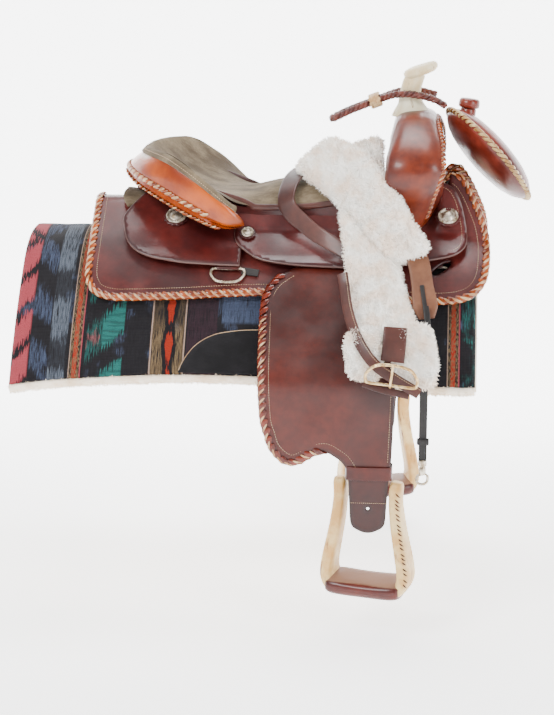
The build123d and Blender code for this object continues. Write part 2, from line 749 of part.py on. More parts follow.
# route of the braided strap: from one side of the canteen's top, past the horn, round
# the bight behind it and back to the other side
NEAR_STRAND = [
    (249, -25, 240), (232, -28, 251), (197, -29.5, 260), (166, -21, 259), (143, -8.8, 251),
    (84, -11.5, 228.2), (56, -15, 214),
]
FAR_LIFT = 2.0
STRAP_ROUTE = NEAR_STRAND + [(x, -y, z + (FAR_LIFT if x > 180 else 0)) for x, y, z in reversed(NEAR_STRAND[1:])]


def arc_radii(points, share=0.45):
    """fillet radius at each inner corner: a share of the shorter run"""
    radii = []
    for a, b, c in zip(points, points[1:], points[2:]):
        first = Vector(*b) - Vector(*a)
        second = Vector(*c) - Vector(*b)
        turn = math.radians(first.get_angle(second))
        run = min(first.length, second.length)
        radii.append(share * run / math.tan(turn / 2))
    return radii


def horn_strap():
    """one long braid doubled round the horn's neck"""
    radii = arc_radii(STRAP_ROUTE)
    path = FilletPolyline(*STRAP_ROUTE, radius=radii)
    start = Plane(origin=path @ 0, z_dir=path % 0)
    cord = sweep(start * Circle(STRAP_D / 2), path=path)
    print("strap length", round(path.length), "least radius", round(min(radii), 1))
    print("volume ratio", round(cord.volume / (math.pi * STRAP_D ** 2 / 4 * path.length), 4))
    return cord


KNOT_AT = (129.0, 0.0, 245.6)
STRAP_RUN = (-31.0, 0.0, -12.0)


def strap_knot():
    """braided knot that slides along both parts of the strap"""
    frame = Plane(origin=KNOT_AT, x_dir=(0, 1, 0), z_dir=STRAP_RUN)
    outer = extrude(frame * SlotOverall(43, 24), amount=8, both=True)
    inner = extrude(frame * SlotOverall(36, 15), amount=30, both=True)
    return fillet(outer.edges(), 3) - inner


# ---------------------------------------------------------------- breast collar
def collar_upper():
    """fleece-covered arm laid down across the seat and the front of the jockey"""
    stations = [
        ((19, -16, 154), (31, 8, 24)), ((73, -69, 135), (33, 4, 30)), ((120, -123, 98), (34, -9, 30)),
        ((167, -170, 44), (34, -11, 22)), ((204, -190, 6), (30, -3, 13)),
    ]
    return ribbon(stations, 20) - fork_shape(-0.4) - collar_lower()


def collar_lower():
    """wide fleece-covered middle, hung down over the fender"""
    stations = [
        ((104, 6, 164), (34, 0, 14)), ((104, -52, 140), (36, 0, 12)), ((112, -108, 82), (38, 0, 8)),
        ((128, -165, 14), (40, 0, 4)), ((146, -226, -55), (44, 0, 0)), ((164, -285, -98), (50, 0, 2)),
        ((168, -316, -128), (60, 0, 2)), ((170, -322, -176), (56, 0, -3)),
    ]
    return ribbon(stations, 20) - fork_shape(-0.4) - seat()


def collar_tug_strap():
    """tan strap with a folded end that comes out of the upper arm"""
    stations = [
        ((212, -194, 0), (20, 0, 2)), ((218, -218, -40), (20, 0, 2)), ((224, -242, -76), (21, 0, 2)),
        ((226, -248, -94), (17, 0, 2)),
    ]
    return ribbon(stations, 6) - collar_upper() - collar_lower()


def collar_neck_strap():
    """strap that crosses the seat and disappears under the fleece"""
    stations = [
        ((-16, 6, 119), (17, 0, 4)), ((-15, -44, 112), (17, 0, 4)), ((-12, -86, 90), (17, 0, 2)),
        ((6, -104, 58), (15, -4, 6)), ((38, -122, 36), (10, -8, 12)), ((70, -136, 22), (8, -8, 12)),
    ]
    return ribbon(stations, 4) - seat() - collar_upper() - collar_lower()


def collar_billet():
    """double-stitched strap that curves down the fleece's edge to the buckle"""
    stations = [
        ((92, -240, -24), (11, 0, 5)), ((100, -276, -62), (11, -2, 4)), ((120, -316, -100), (9, -4, 8)),
        ((146, -336, -134), (6, -2, 11)), ((178, -341, -156), (5, 0, 11)), ((214, -341, -176), (4, 0, 8)),
    ]
    return ribbon(stations, 4) - collar_lower()


BUCKLE_FRAME = Plane(origin=(170, -350, -166), x_dir=(-1, 0, 0.12), z_dir=(0.1, 0.97, 0.25))
BUCKLE_HALF, BUCKLE_REACH, BUCKLE_WIRE = 41.0, 36.0, 5.0


def collar_buckle():
    return BUCKLE_FRAME * wire_dee(BUCKLE_HALF, BUCKLE_REACH, BUCKLE_WIRE)


def buckle_tongue():
    """tongue looped on the buckle's bar"""
    eye = Rot(0, 90, 0) * Cylinder(BUCKLE_WIRE / 2 + 2.6, 6)
    pin = Pos(0, 22, -4.0) * Box(5, 38, 2.2)
    bore = Rot(0, 90, 0) * Cylinder(BUCKLE_WIRE / 2 + 0.4, 20)
    return BUCKLE_FRAME * (eye + pin - bore)


# ---------------------------------------------------------------- tie-down strap
TIE_AT = (223.0, -319.0, -182.0)
TIE_LENGTH, TIE_WIDTH, TIE_THICK = 122.0, 13.0, 2.6
KEEPER_Z = -268.0


def tie_down_strap():
    """narrow black strap with its keeper, hung from the collar's lower edge"""
    x, y, z = TIE_AT
    strap = Pos(x, y, z - TIE_LENGTH / 2) * Box(TIE_WIDTH, TIE_THICK, TIE_LENGTH)
    keeper = Pos(x, y, KEEPER_Z) * Box(TIE_WIDTH + 5, TIE_THICK + 5, 9)
    end = Pos(x, y, z - TIE_LENGTH) * Box(TIE_WIDTH, 10, 8)
    eye = Pos(x, y, z - TIE_LENGTH) * Cylinder(3.4, 40)
    room = Pos(x, y, z - TIE_LENGTH + 7.4) * Cylinder(5.2, 5)
    return strap + keeper + end - eye - room


def tie_down_snap():
    """swivel snap hook: a post in the strap's end, a body and a hook"""
    x, y, z = TIE_AT
    top = z - TIE_LENGTH
    post = Pos(x, y, top - 3) * Cylinder(3.0, 18)
    knob = Pos(x, y, top + 7.4) * Cylinder(4.6, 4)
    body = Pos(x, y, top - 13) * Cylinder(5.5, 14)
    hook = Pos(x, y, top - 27) * Rot(90, 0, 0) * Torus(8.5, 2.4)
    return post + knob + body + hook


# ---------------------------------------------------------------- write the nodes
def write_nodes():
    os.makedirs("parts", exist_ok=True)
    save("saddle_pad_lining", pad_layer(PAD_LINING))
    save("saddle_pad_shell", pad_layer(PAD_SHELL))
    save("pad_wear_leathers", both(pad_wear_leather()))
    save("skirt_lacing", both(skirt_lacing()))
    save("tree_bars", tree_bars())
    save("tree_fork", tree_fork())
    save("tree_cantle", tree_cantle())
    save("fork_cover", fork_cover())
    save("fork_lacing", fork_lacing())
    save("horn_post", horn_post())
    save("horn_neck", horn_neck())
    save("horn_cap", horn_cap())
    save("cantle_roll", cantle_roll())
    save("cantle_lacing", cantle_lacing())
    save("seat", seat())
    save("rear_jockeys", both(rear_jockey()))
    save("seat_jockeys", both(seat_jockey()))
    save("front_jockeys", both(front_jockey()))
    save("concho_rosettes", solids_of(
        concho_set(["rear", "front"], LARGE_CONCHO_R + 3, ROSETTE, 0),
        concho_set(["mid"], SMALL_CONCHO_R + 2.5, ROSETTE, 0),
    ))
    save("conchos_large", concho_set(["rear", "front"], LARGE_CONCHO_R, CONCHO, 3))
    save("conchos_small", concho_set(["mid"], SMALL_CONCHO_R, CONCHO, 2))
    save("rigging_straps", solids_of(
        both(rigging_strap(REAR_DEE, REAR_DEE_OUT, RIGGING, 2.1)),
        both(rigging_strap(FRONT_DEE, FRONT_DEE_OUT, (26.5, 30.5), 1.8)),
    ))
    for name, side in SIDES.items():
        save(f"skirt_{name}", skirt(side))
        save(f"skirt_lining_{name}", skirt_lining(side))
        save(f"rear_dee_{name}", on_side(dee(REAR_DEE, REAR_DEE_OUT), side))
        save(f"front_dee_{name}", on_side(dee(FRONT_DEE, FRONT_DEE_OUT), side))
        save(f"stirrup_leather_{name}", stirrup_leather(side))
        save(f"fender_{name}", fender(side))
        save(f"fender_lacing_{name}", on_side(fender_lacing(), side) - fender(side))
        save(f"hobble_strap_{name}", hobble_strap(side))
        save(f"stirrup_frame_{name}", stirrup_frame(side))
        save(f"stirrup_bolt_{name}", stirrup_bolt(side))
        save(f"stirrup_tread_{name}", stirrup_tread(side))
    save("canteen_front", canteen_front())
    save("canteen_back", canteen_half(-1))
    save("canteen_seam", canteen_seam())
    save("canteen_stopper", canteen_stopper())
    save("horn_strap", horn_strap())
    save("strap_knot", strap_knot())
    save("collar_fleece_upper", collar_upper())
    save("collar_fleece_lower", collar_lower())
    save("collar_tug_strap", collar_tug_strap())
    save("collar_neck_strap", collar_neck_strap())
    save("collar_billet", collar_billet())
    save("collar_buckle", collar_buckle())
    save("collar_buckle_tongue", buckle_tongue())
    save("tie_down_strap", tie_down_strap())
    save("tie_down_snap", tie_down_snap())


write_nodes()
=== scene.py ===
import json
import math

import bpy
import numpy as np
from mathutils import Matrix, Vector
from mathutils.geometry import delaunay_2d_cdt


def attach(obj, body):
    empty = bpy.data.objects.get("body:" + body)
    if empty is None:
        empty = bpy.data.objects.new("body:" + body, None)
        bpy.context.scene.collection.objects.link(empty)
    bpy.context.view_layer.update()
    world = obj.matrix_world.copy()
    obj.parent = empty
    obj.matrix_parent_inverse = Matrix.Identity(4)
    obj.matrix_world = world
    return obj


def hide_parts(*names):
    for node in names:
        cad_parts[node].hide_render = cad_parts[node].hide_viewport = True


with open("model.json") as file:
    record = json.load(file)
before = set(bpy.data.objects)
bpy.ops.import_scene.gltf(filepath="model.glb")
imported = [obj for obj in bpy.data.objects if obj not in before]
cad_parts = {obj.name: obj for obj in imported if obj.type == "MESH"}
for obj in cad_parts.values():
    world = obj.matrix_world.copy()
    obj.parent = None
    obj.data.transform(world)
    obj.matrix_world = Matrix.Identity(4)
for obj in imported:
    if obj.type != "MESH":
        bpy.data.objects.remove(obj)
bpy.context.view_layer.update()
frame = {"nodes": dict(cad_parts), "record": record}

RNG = np.random.default_rng(7)
MM = 0.001
RIGHT, LEFT = -1, 1
SIDES = {"right": RIGHT, "left": LEFT}
UP = np.array([0, 0, 1.0])

# ------------------------------------------------------------ arch geometry, as in the CAD (mm)
FLANK_R, PAD_R, PAD_ANGLE = 816.0, 141.4, math.radians(41.5)
SLOPE, ROOF = math.radians(38), 66.8
FLANK_Y = -(FLANK_R - PAD_R) * math.sin(PAD_ANGLE)
FLANK_Z = -PAD_R - (FLANK_R - PAD_R) * math.cos(PAD_ANGLE)
CROWN_R = FLANK_R - (ROOF * math.cos(SLOPE) - FLANK_Y) / math.sin(SLOPE)
CROWN_Z = FLANK_Z + (FLANK_R - CROWN_R) * math.cos(SLOPE) + ROOF * math.sin(SLOPE)
SPINE = -ROOF - SLOPE * (CROWN_R + 36)
FOLD, STEEP = 6.0, math.radians(74)
PAD_START = (PAD_ANGLE - SLOPE) * FLANK_R
PAD_SPINE = PAD_START - PAD_ANGLE * PAD_R
TOUCH, TOUCH_OUT = 110.0, 41.2
TOUCH_ANGLE, HANG = SLOPE + TOUCH / FLANK_R, math.radians(88)
BEND_AT, BEND_R = 125.7, 100.0
BEND_END = BEND_AT + BEND_R * (HANG - TOUCH_ANGLE)


def flank(drop, out):
    angle = SLOPE + drop / FLANK_R
    return FLANK_Y + (FLANK_R + out) * np.sin(angle), FLANK_Z + (FLANK_R + out) * np.cos(angle)


def smooth(x, low, high):
    t = np.clip((x - low) / (high - low), 0, 1)
    return t * t * (3 - 2 * t)


def saddle_yz(x, drop, out):
    """the saddle's own arch: flank, straight roof and a tight crown"""
    y, z = flank(np.maximum(drop, 0), out)
    roof = np.clip(drop, -ROOF, 0)
    y, z = y + roof * math.cos(SLOPE), z - roof * math.sin(SLOPE)
    turn = SLOPE * (drop - SPINE) / (-ROOF - SPINE)
    crown = drop < -ROOF
    y = np.where(crown, (CROWN_R + out) * np.sin(turn), y)
    return y, np.where(crown, CROWN_Z + (CROWN_R + out) * np.cos(turn), z)


def steep_yz(x, drop, out):
    """flank that turns up steeply above the fold"""
    y, z = flank(np.maximum(drop, FOLD), out)
    rise = np.maximum(FOLD - drop, 0)
    return y - rise * math.cos(STEEP), z + rise * math.sin(STEEP)


def turned_up(split):
    """saddle arch behind the split, steep front before it"""
    def yz(x, drop, out):
        weight = smooth(x, split - 14, split + 8)
        (y0, z0), (y1, z1) = saddle_yz(x, drop, out), steep_yz(x, drop, out)
        return y0 + (y1 - y0) * weight, z0 + (z1 - z0) * weight
    return yz


def pad_yz(x, drop, out):
    angle = np.where(drop >= PAD_START, PAD_ANGLE, PAD_ANGLE + (drop - PAD_START) / PAD_R)
    y, z = flank(np.maximum(drop, PAD_START), out)
    crown = drop < PAD_START
    y = np.where(crown, (PAD_R + out) * np.sin(angle), y)
    return y, np.where(crown, -PAD_R + (PAD_R + out) * np.cos(angle), z)


def fender_yz(x, run, out):
    """flat where it leaves the arch, then bent down to hang; run is measured along it"""
    y, z = flank(TOUCH, TOUCH_OUT + out)
    straight = np.minimum(run, BEND_AT)
    y, z = y + straight * math.cos(TOUCH_ANGLE), z - straight * math.sin(TOUCH_ANGLE)
    angle = np.clip(TOUCH_ANGLE + (run - BEND_AT) / BEND_R, TOUCH_ANGLE, HANG)
    y = y + (BEND_R + out) * (np.sin(angle) - math.sin(TOUCH_ANGLE))
    z = z + (BEND_R + out) * (np.cos(angle) - math.cos(TOUCH_ANGLE))
    low = np.maximum(run - BEND_END, 0)
    return y + low * math.cos(HANG), z - low * math.sin(HANG)


def run_at(z):
    """run on the fender's outer face at one height"""
    runs = np.linspace(-60, 520, 2901)
    return float(np.interp(-z, -fender_yz(0, runs, 3.4)[1], runs))


def on(yz, side):
    """a function that places (u, v, out) in space, on one side of the saddle"""
    def place(u, v, out):
        u, v, out = np.broadcast_arrays(*[np.asarray(a, float) for a in (u, v, out)])
        y, z = yz(u, v, out)
        return np.stack([u, side * y, z], -1)
    return place


# ------------------------------------------------------------ plain geometry
def unit(v):
    return v / np.maximum(np.linalg.norm(v, axis=-1, keepdims=True), 1e-9)


def spline(a, b, c, d, t):
    """the smooth curve from b to c, between the neighbours a and d"""
    square, cube = 2 * a - 5 * b + 4 * c - d, 3 * b - a - 3 * c + d
    return 0.5 * (2 * b + (c - a) * t + square * t * t + cube * t ** 3)


def curve(points, step):
    """a smooth open line through the points"""
    p = np.array(points, float)
    ends = np.vstack([2 * p[0] - p[1], p, 2 * p[-1] - p[-2]])
    found = []
    for a, b, c, d in zip(ends, ends[1:], ends[2:], ends[3:]):
        count = max(int(np.linalg.norm(c - b) / step), 1)
        for t in np.arange(count) / count:
            found.append(spline(a, b, c, d, t))
    return np.array(found + [p[-1]])


def lengths(line):
    return np.concatenate([[0], np.cumsum(np.linalg.norm(np.diff(line, axis=0), axis=1))])


def even(line, step=None, count=None):
    """the same line, resampled at one spacing"""
    s = lengths(line)
    count = count or max(int(round(s[-1] / step)), 2) + 1
    at = np.linspace(0, s[-1], count)
    return np.stack([np.interp(at, s, line[:, i]) for i in range(line.shape[1])], 1)


def read(pairs, at):
    """straight-line reading in a list of (place, value) pairs"""
    return np.interp(at, *zip(*pairs))


def respaced(values, count):
    """the values in order, resampled to one count"""
    values = np.atleast_1d(values)
    return np.interp(np.linspace(0, 1, count), np.linspace(0, 1, len(values)), values)


def squared(angle, power_x, power_y):
    """cosine and sine of an angle, on a circle pulled out towards a square"""
    c, s = math.cos(angle), math.sin(angle)
    return math.copysign(abs(c) ** power_x, c), math.copysign(abs(s) ** power_y, s)


def circle(u, v, radius, count):
    return [(u + radius * math.cos(a), v + radius * math.sin(a)) for a in np.linspace(0, 2 * math.pi, count)]


def outline(runs, step=4.0):
    """a closed anticlockwise loop made of smooth runs that meet at sharp corners"""
    loop = np.vstack([even(curve(run, step), step)[:-1] for run in runs])
    area = np.sum(loop[:, 0] * np.roll(loop[:, 1], -1) - np.roll(loop[:, 0], -1) * loop[:, 1])
    return loop if area > 0 else loop[::-1]


def inset(loop, distance):
    """the loop moved inwards"""
    along = unit(np.roll(loop, -1, 0) - np.roll(loop, 1, 0))
    return loop + distance * np.stack([-along[:, 1], along[:, 0]], 1)


def inside(points, loop):
    x, y = points[:, 0:1], points[:, 1:2]
    a, b = loop, np.roll(loop, -1, 0)
    crossing = (a[:, 1] > y) != (b[:, 1] > y)
    slope = (b[:, 0] - a[:, 0]) / np.where(b[:, 1] == a[:, 1], 1e-9, b[:, 1] - a[:, 1])
    return (np.sum(crossing & (x < a[:, 0] + slope * (y - a[:, 1])), 1) % 2).astype(bool)


def to_loop(points, loop):
    """distance of each point to the closed loop"""
    best = np.full(len(points), 1e9)
    for a, b in zip(loop, np.roll(loop, -1, 0)):
        ab = b - a
        t = np.clip(((points - a) @ ab) / max(ab @ ab, 1e-9), 0, 1)
        best = np.minimum(best, np.linalg.norm(points - a - t[:, None] * ab, axis=1))
    return best


def ripple(u, v, size, wave, seed=0):
    """a gentle unevenness"""
    return size * (np.sin(u / wave + seed) * np.sin(v / (wave * 0.8) + 2.1 * seed)
                   + 0.5 * np.sin(u / (wave * 0.37) + v / (wave * 0.6) + seed * 3.3))


class Heap:
    """collects pieces of mesh"""
    def __init__(self):
        self.verts, self.faces, self.count = [], [], 0

    def add(self, verts, faces):
        verts = np.asarray(verts).reshape(-1, 3)
        self.verts.append(verts)
        self.faces.extend([tuple(i + self.count for i in f) for f in faces])
        self.count += len(verts)

    def data(self):
        return np.vstack(self.verts), self.faces


def make(name, data, paint, stands_for=(), body="saddle", sharp=50, edge=None, uv=None):
    """a mesh object in one of the PAINT materials, which rides on a body"""
    verts, faces = data
    mesh = bpy.data.meshes.new(name)
    mesh.from_pydata((np.asarray(verts) * MM).tolist(), [], faces)
    mesh.materials.append(PAINT[paint])
    mesh.shade_smooth()
    mesh.set_sharp_from_angle(angle=math.radians(sharp))
    if edge is not None:
        mesh.attributes.new("edge", "FLOAT", "POINT").data.foreach_set("value", np.asarray(edge, np.float32))
    if uv is not None:
        layer = mesh.uv_layers.new(name="UV")
        index = np.zeros(len(mesh.loops), np.int32)
        mesh.loops.foreach_get("vertex_index", index)
        layer.data.foreach_set("uv", (np.asarray(uv)[index] * MM).astype(np.float32).ravel())
    obj = bpy.data.objects.new(name, mesh)
    bpy.context.scene.collection.objects.link(obj)
    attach(obj, body)
    if stands_for:
        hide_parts(*stands_for)
    return obj


def sweep(path, width, height=None, up=None, sides=8, closed=False):
    """a tube along a path; its section is an ellipse, width across and height along up"""
    path = np.asarray(path, float)
    n = len(path)
    if closed:
        tangent = unit(np.roll(path, -1, 0) - np.roll(path, 1, 0))
    else:
        tangent = unit(np.gradient(path, axis=0))
    if up is None:
        guess = np.array([0, 0, 1.0]) if abs(tangent[0][2]) < 0.9 else np.array([0, 1.0, 0])
        ups = [unit(guess - tangent[0] * (guess @ tangent[0]))]
        for t in tangent[1:]:
            ups.append(unit(ups[-1] - t * (ups[-1] @ t)))
        up = np.array(ups)
    up = np.broadcast_to(np.asarray(up, float), path.shape)
    up = unit(up - tangent * np.sum(up * tangent, 1, keepdims=True))
    across = np.cross(tangent, up)
    width = np.broadcast_to(np.asarray(width, float), n)[:, None]
    height = width if height is None else np.broadcast_to(np.asarray(height, float), n)[:, None]
    rings = []
    for a in np.arange(sides) * 2 * math.pi / sides:
        rings.append(path + across * width * math.cos(a) + up * height * math.sin(a))
    rows = np.stack(rings, 1)
    return grid_mesh(rows, close_u=True, close_v=True) if closed else capped(rows)


def grid_mesh(points, close_u=False, close_v=False):
    """faces over a rows x columns array of points"""
    rows, columns = points.shape[:2]
    faces = []
    for i in range(rows if close_u else rows - 1):
        for j in range(columns if close_v else columns - 1):
            a, b = (i + 1) % rows, (j + 1) % columns
            faces.append((i * columns + j, i * columns + b, a * columns + b, a * columns + j))
    return points.reshape(-1, 3), faces


def capped(rows):
    """faces over stations x section points, with both ends filled"""
    verts, faces = grid_mesh(rows, close_v=True)
    n, k = rows.shape[:2]
    return verts, faces + [tuple(range(k - 1, -1, -1)), tuple((n - 1) * k + i for i in range(k))]


def lathe(profile, frame_at, segments):
    """(radius, height) profile turned about the frame's z axis; frame_at = origin, x, y, z"""
    origin, ex, ey, ez = frame_at
    angles = np.arange(segments) * 2 * math.pi / segments
    rings = []
    for r, h in profile:
        rings.append(origin + r * (np.outer(np.cos(angles), ex) + np.outer(np.sin(angles), ey)) + h * ez)
    return grid_mesh(np.array(rings), close_v=True)


def frame_on(place, u, v, out):
    """origin, x, y and z of the frame that stands on a surface"""
    origin = place(u, v, out)
    ex = unit(place(u + 1, v, out) - place(u - 1, v, out))
    ez = unit(place(u, v, out + 1) - origin)
    return origin, ex, np.cross(ez, ex), ez


# ------------------------------------------------------------ leather sheets
def sheet(runs, place, layer, step=6.0, roll=1.2, lift=None, holes=(), rough=0.35, seed=0, shrink=0.0):
    """leather cut to an outline and laid on a surface: mesh, distance of each vertex to the rim, outline"""
    loop = inset(outline(runs), shrink)
    loops = [loop] + [outline([h])[::-1] for h in holes]
    rims = [inset(l, roll) for l in loops]
    low, high = loop.min(0), loop.max(0)
    gu, gv = np.meshgrid(np.arange(low[0], high[0], step), np.arange(low[1], high[1], step * 0.87))
    gu[1::2] += step / 2
    grid = np.stack([gu.ravel(), gv.ravel()], 1)
    away = np.minimum.reduce([to_loop(grid, l) for l in loops])
    keep = inside(grid, loop) & (away > roll + step * 0.35)
    for l in loops[1:]:
        keep &= ~inside(grid, l)
    rim_points = np.vstack(rims)
    rim_away = np.minimum.reduce([to_loop(rim_points, l) for l in loops])
    rim_points = rim_points[rim_away > roll * 0.6]
    points = np.vstack(loops + [rim_points, grid[keep]])
    edges, start = [], 0
    for l in loops:
        edges += [(start + i, start + (i + 1) % len(l)) for i in range(len(l))]
        start += len(l)
    found = delaunay_2d_cdt([Vector(p) for p in points], edges, [], 0, 1e-5)
    flat = np.array([tuple(v) for v in found[0]])
    faces = np.array(found[2])
    middle = flat[faces].mean(1)
    good = inside(middle, loop)
    for l in loops[1:]:
        good &= ~inside(middle, l)
    faces = faces[good]
    d = np.minimum.reduce([to_loop(flat, l) for l in loops])
    u, v = flat[:, 0], flat[:, 1]
    extra = ripple(u, v, rough, 31.0, seed) * smooth(d, 0, 12)
    if lift is not None:
        extra = extra + lift(u, v, d)
    rounded = roll * (1 - np.minimum(d / roll, 1)) ** 1.5
    top = place(u, v, layer[1] + extra - rounded)
    under = place(u, v, layer[0] + extra)
    n = len(flat)
    pairs = {}
    for f in faces:
        for a, b in ((f[0], f[1]), (f[1], f[2]), (f[2], f[0])):
            pairs[(a, b)] = pairs.get((a, b), 0) + 1
    rim = [(b, a, a + n, b + n) for a, b in pairs if (b, a) not in pairs]
    every = [tuple(f) for f in faces] + [(f[2] + n, f[1] + n, f[0] + n) for f in faces] + rim
    edge = np.concatenate([d, d])
    return (np.vstack([top, under]), every), edge, loop


def pick(loop, keep):
    """the longest stretch of a closed loop where keep is true, as an open line"""
    flags = np.array([bool(keep(u, v)) for u, v in loop])
    if flags.all():
        return np.vstack([loop, loop[:1]])
    start = int(np.argmin(flags))
    loop, flags = np.roll(loop, -start, 0), np.roll(flags, -start)
    best, i = (0, 0), 0
    while i < len(flags):
        if flags[i]:
            j = i
            while j < len(flags) and flags[j]:
                j += 1
            if j - i > best[1] - best[0]:
                best = (i, j)
            i = j
        i += 1
    return loop[best[0]:best[1]]


def stitches(line, place, out, pitch=4.2, length=2.9, radius=0.5):
    """a row of thread stitches along a (u, v) line"""
    heap = Heap()
    dots = even(line, pitch)
    along = unit(np.gradient(dots, axis=0))
    for c, t in zip(dots, along):
        at = [c + t * length * k for k in (-0.5, -0.3, 0.3, 0.5)]
        path = np.array([place(p[0], p[1], out) for p in at])
        heap.add(*sweep(path, radius * np.array([0.35, 1, 1, 0.35]), sides=5))
    return heap.data()


def thread_along(line, pitch, radius):
    """a row of thread stitches along a line in space"""
    heap = Heap()
    dots = even(line, pitch)
    for a, b in zip(dots[:-1], dots[1:]):
        stitch = np.array([a, a * 0.8 + b * 0.2, a * 0.5 + b * 0.5, a * 0.3 + b * 0.7])
        heap.add(*sweep(stitch, [0.2, radius, radius, 0.2], sides=5))
    return heap.data()


LACE_THICK, LACE_TURN, LACE_GAP = 1.3, 118, 1.5
LACE_TAPER = np.array([0.5, 0.85, 1, 1, 1, 1, 1, 1, 1, 0.85, 0.5])


def whip(line, place, mid, half, pitch, width, reach, bulge, lean, phase=0.0):
    """lace wound over and over an edge, mid and half being the edge's middle and half thickness"""
    heap = Heap()
    flat = even(line, pitch)
    along2 = unit(np.gradient(flat, axis=0))
    inward2 = np.stack([-along2[:, 1], along2[:, 0]], 1)
    angles = np.radians(np.linspace(-LACE_TURN, LACE_TURN, len(LACE_TAPER)))
    for c, t, n2 in zip(flat, along2, inward2):
        c = c + t * pitch * phase
        centre = place(c[0], c[1], mid)
        ahead = unit(place(c[0] + t[0], c[1] + t[1], mid) - centre)
        normal = unit(place(c[0], c[1], mid + 1) - centre)
        away = unit(centre - place(c[0] + n2[0] * 3, c[1] + n2[1] * 3, mid))
        hub = centre - away * reach
        path, ups = [], []
        for a in angles:
            swing = away * (reach + bulge) * math.cos(a) + normal * (half + LACE_GAP) * math.sin(a)
            path.append(hub + swing + ahead * lean * (a / angles[-1]) / 2)
            ups.append(away * math.cos(a) / (reach + bulge) + normal * math.sin(a) / (half + LACE_GAP))
        heap.add(*sweep(np.array(path), width * LACE_TAPER, LACE_THICK, up=np.array(ups)))
    return heap.data()


def strap_axes(path, up):
    """the direction out of a strap's face and the one across it, at each point"""
    tangent = unit(np.gradient(path, axis=0))
    up = np.broadcast_to(np.asarray(up, float), path.shape)
    normal = unit(up - tangent * np.sum(up * tangent, 1, keepdims=True))
    return normal, np.cross(tangent, normal)


def strap(path, half_width, thick, up, sides=16, power=0.4):
    """a flat strap with rounded edges: path, half width, thickness and the face's direction"""
    path = np.asarray(path, float)
    normal, across = strap_axes(path, up)
    half_width = np.broadcast_to(np.asarray(half_width, float), len(path))
    rows = []
    for a in np.arange(sides) * 2 * math.pi / sides:
        x, y = squared(a, power, power)
        rows.append(path + across * (half_width * x)[:, None] + normal * (thick / 2 * y))
    return capped(np.stack(rows, 1))


def merged(*parts):
    heap = Heap()
    for verts, faces in parts:
        heap.add(verts, faces)
    return heap.data()


# ------------------------------------------------------------ materials
def linear(r, g, b):
    """a display colour, 0 to 255, as the renderer's linear one"""
    levels = (r / 255, g / 255, b / 255)
    return tuple(c / 12.92 if c <= 0.04045 else ((c + 0.055) / 1.055) ** 2.4 for c in levels) + (1,)


RICHER, DARKER = 1.06, 0.64


def deep(r, g, b):
    """a colour made deeper and richer, for the high-key studio light"""
    c = linear(r, g, b)
    grey = 0.3 * c[0] + 0.5 * c[1] + 0.2 * c[2]
    return tuple(max((grey + (v - grey) * RICHER) * DARKER, 0.0) for v in c[:3]) + (1,)


def dimmed(color, share):
    return tuple(c * share for c in color[:3]) + (1,)


class Shader:
    """small helper that wires a node material"""
    def __init__(self, name):
        self.material = bpy.data.materials.new(name)
        self.material.use_nodes = True
        self.nodes, self.links = self.material.node_tree.nodes, self.material.node_tree.links
        self.bsdf = self.nodes["Principled BSDF"]

    def put(self, socket, value):
        if isinstance(value, bpy.types.NodeSocket):
            self.links.new(value, socket)
        elif value is not None:
            socket.default_value = value

    def coords(self, scale=(1, 1, 1), kind="Object"):
        source = self.nodes.new("ShaderNodeTexCoord")
        mapping = self.nodes.new("ShaderNodeMapping")
        mapping.inputs["Scale"].default_value = scale
        self.links.new(source.outputs[kind], mapping.inputs["Vector"])
        return mapping.outputs["Vector"]

    def noise(self, vector, scale, detail=3.0, rough=0.55, distortion=0.0):
        n = self.nodes.new("ShaderNodeTexNoise")
        self.put(n.inputs["Vector"], vector)
        settings = {"Scale": scale, "Detail": detail, "Roughness": rough, "Distortion": distortion}
        for key, value in settings.items():
            n.inputs[key].default_value = value
        return n.outputs["Fac"]

    def cells(self, vector, scale):
        n = self.nodes.new("ShaderNodeTexVoronoi")
        self.put(n.inputs["Vector"], vector)
        n.inputs["Scale"].default_value = scale
        return n.outputs["Distance"]

    def math(self, operation, a, b=0.0):
        n = self.nodes.new("ShaderNodeMath")
        n.operation = operation
        self.put(n.inputs[0], a)
        self.put(n.inputs[1], b)
        return n.outputs[0]

    def times(self, a, b):
        return self.math("MULTIPLY", a, b)

    def remap(self, value, low, high, to_low=0.0, to_high=1.0):
        n = self.nodes.new("ShaderNodeMapRange")
        n.interpolation_type = "SMOOTHSTEP"
        self.put(n.inputs["Value"], value)
        for key, v in (("From Min", low), ("From Max", high), ("To Min", to_low), ("To Max", to_high)):
            n.inputs[key].default_value = v
        return n.outputs["Result"]

    def mix(self, factor, a, b, blend="MIX"):
        n = self.nodes.new("ShaderNodeMix")
        n.data_type, n.blend_type = "RGBA", blend
        self.put(n.inputs[0], factor)
        self.put(n.inputs[6], a)
        self.put(n.inputs[7], b)
        return n.outputs[2]

    def attribute(self, name):
        n = self.nodes.new("ShaderNodeAttribute")
        n.attribute_name = name
        return n.outputs["Fac"]

    def split(self, vector):
        n = self.nodes.new("ShaderNodeSeparateXYZ")
        self.put(n.inputs[0], vector)
        return n.outputs

    def bump(self, height, strength, distance):
        n = self.nodes.new("ShaderNodeBump")
        self.put(n.inputs["Height"], height)
        n.inputs["Strength"].default_value = strength
        n.inputs["Distance"].default_value = distance
        self.links.new(n.outputs["Normal"], self.bsdf.inputs["Normal"])

    def finish(self, color, rough, **more):
        self.put(self.bsdf.inputs["Base Color"], color)
        self.put(self.bsdf.inputs["Roughness"], rough)
        for key, value in more.items():
            self.put(self.bsdf.inputs[key.replace("_", " ")], value)
        return self.material


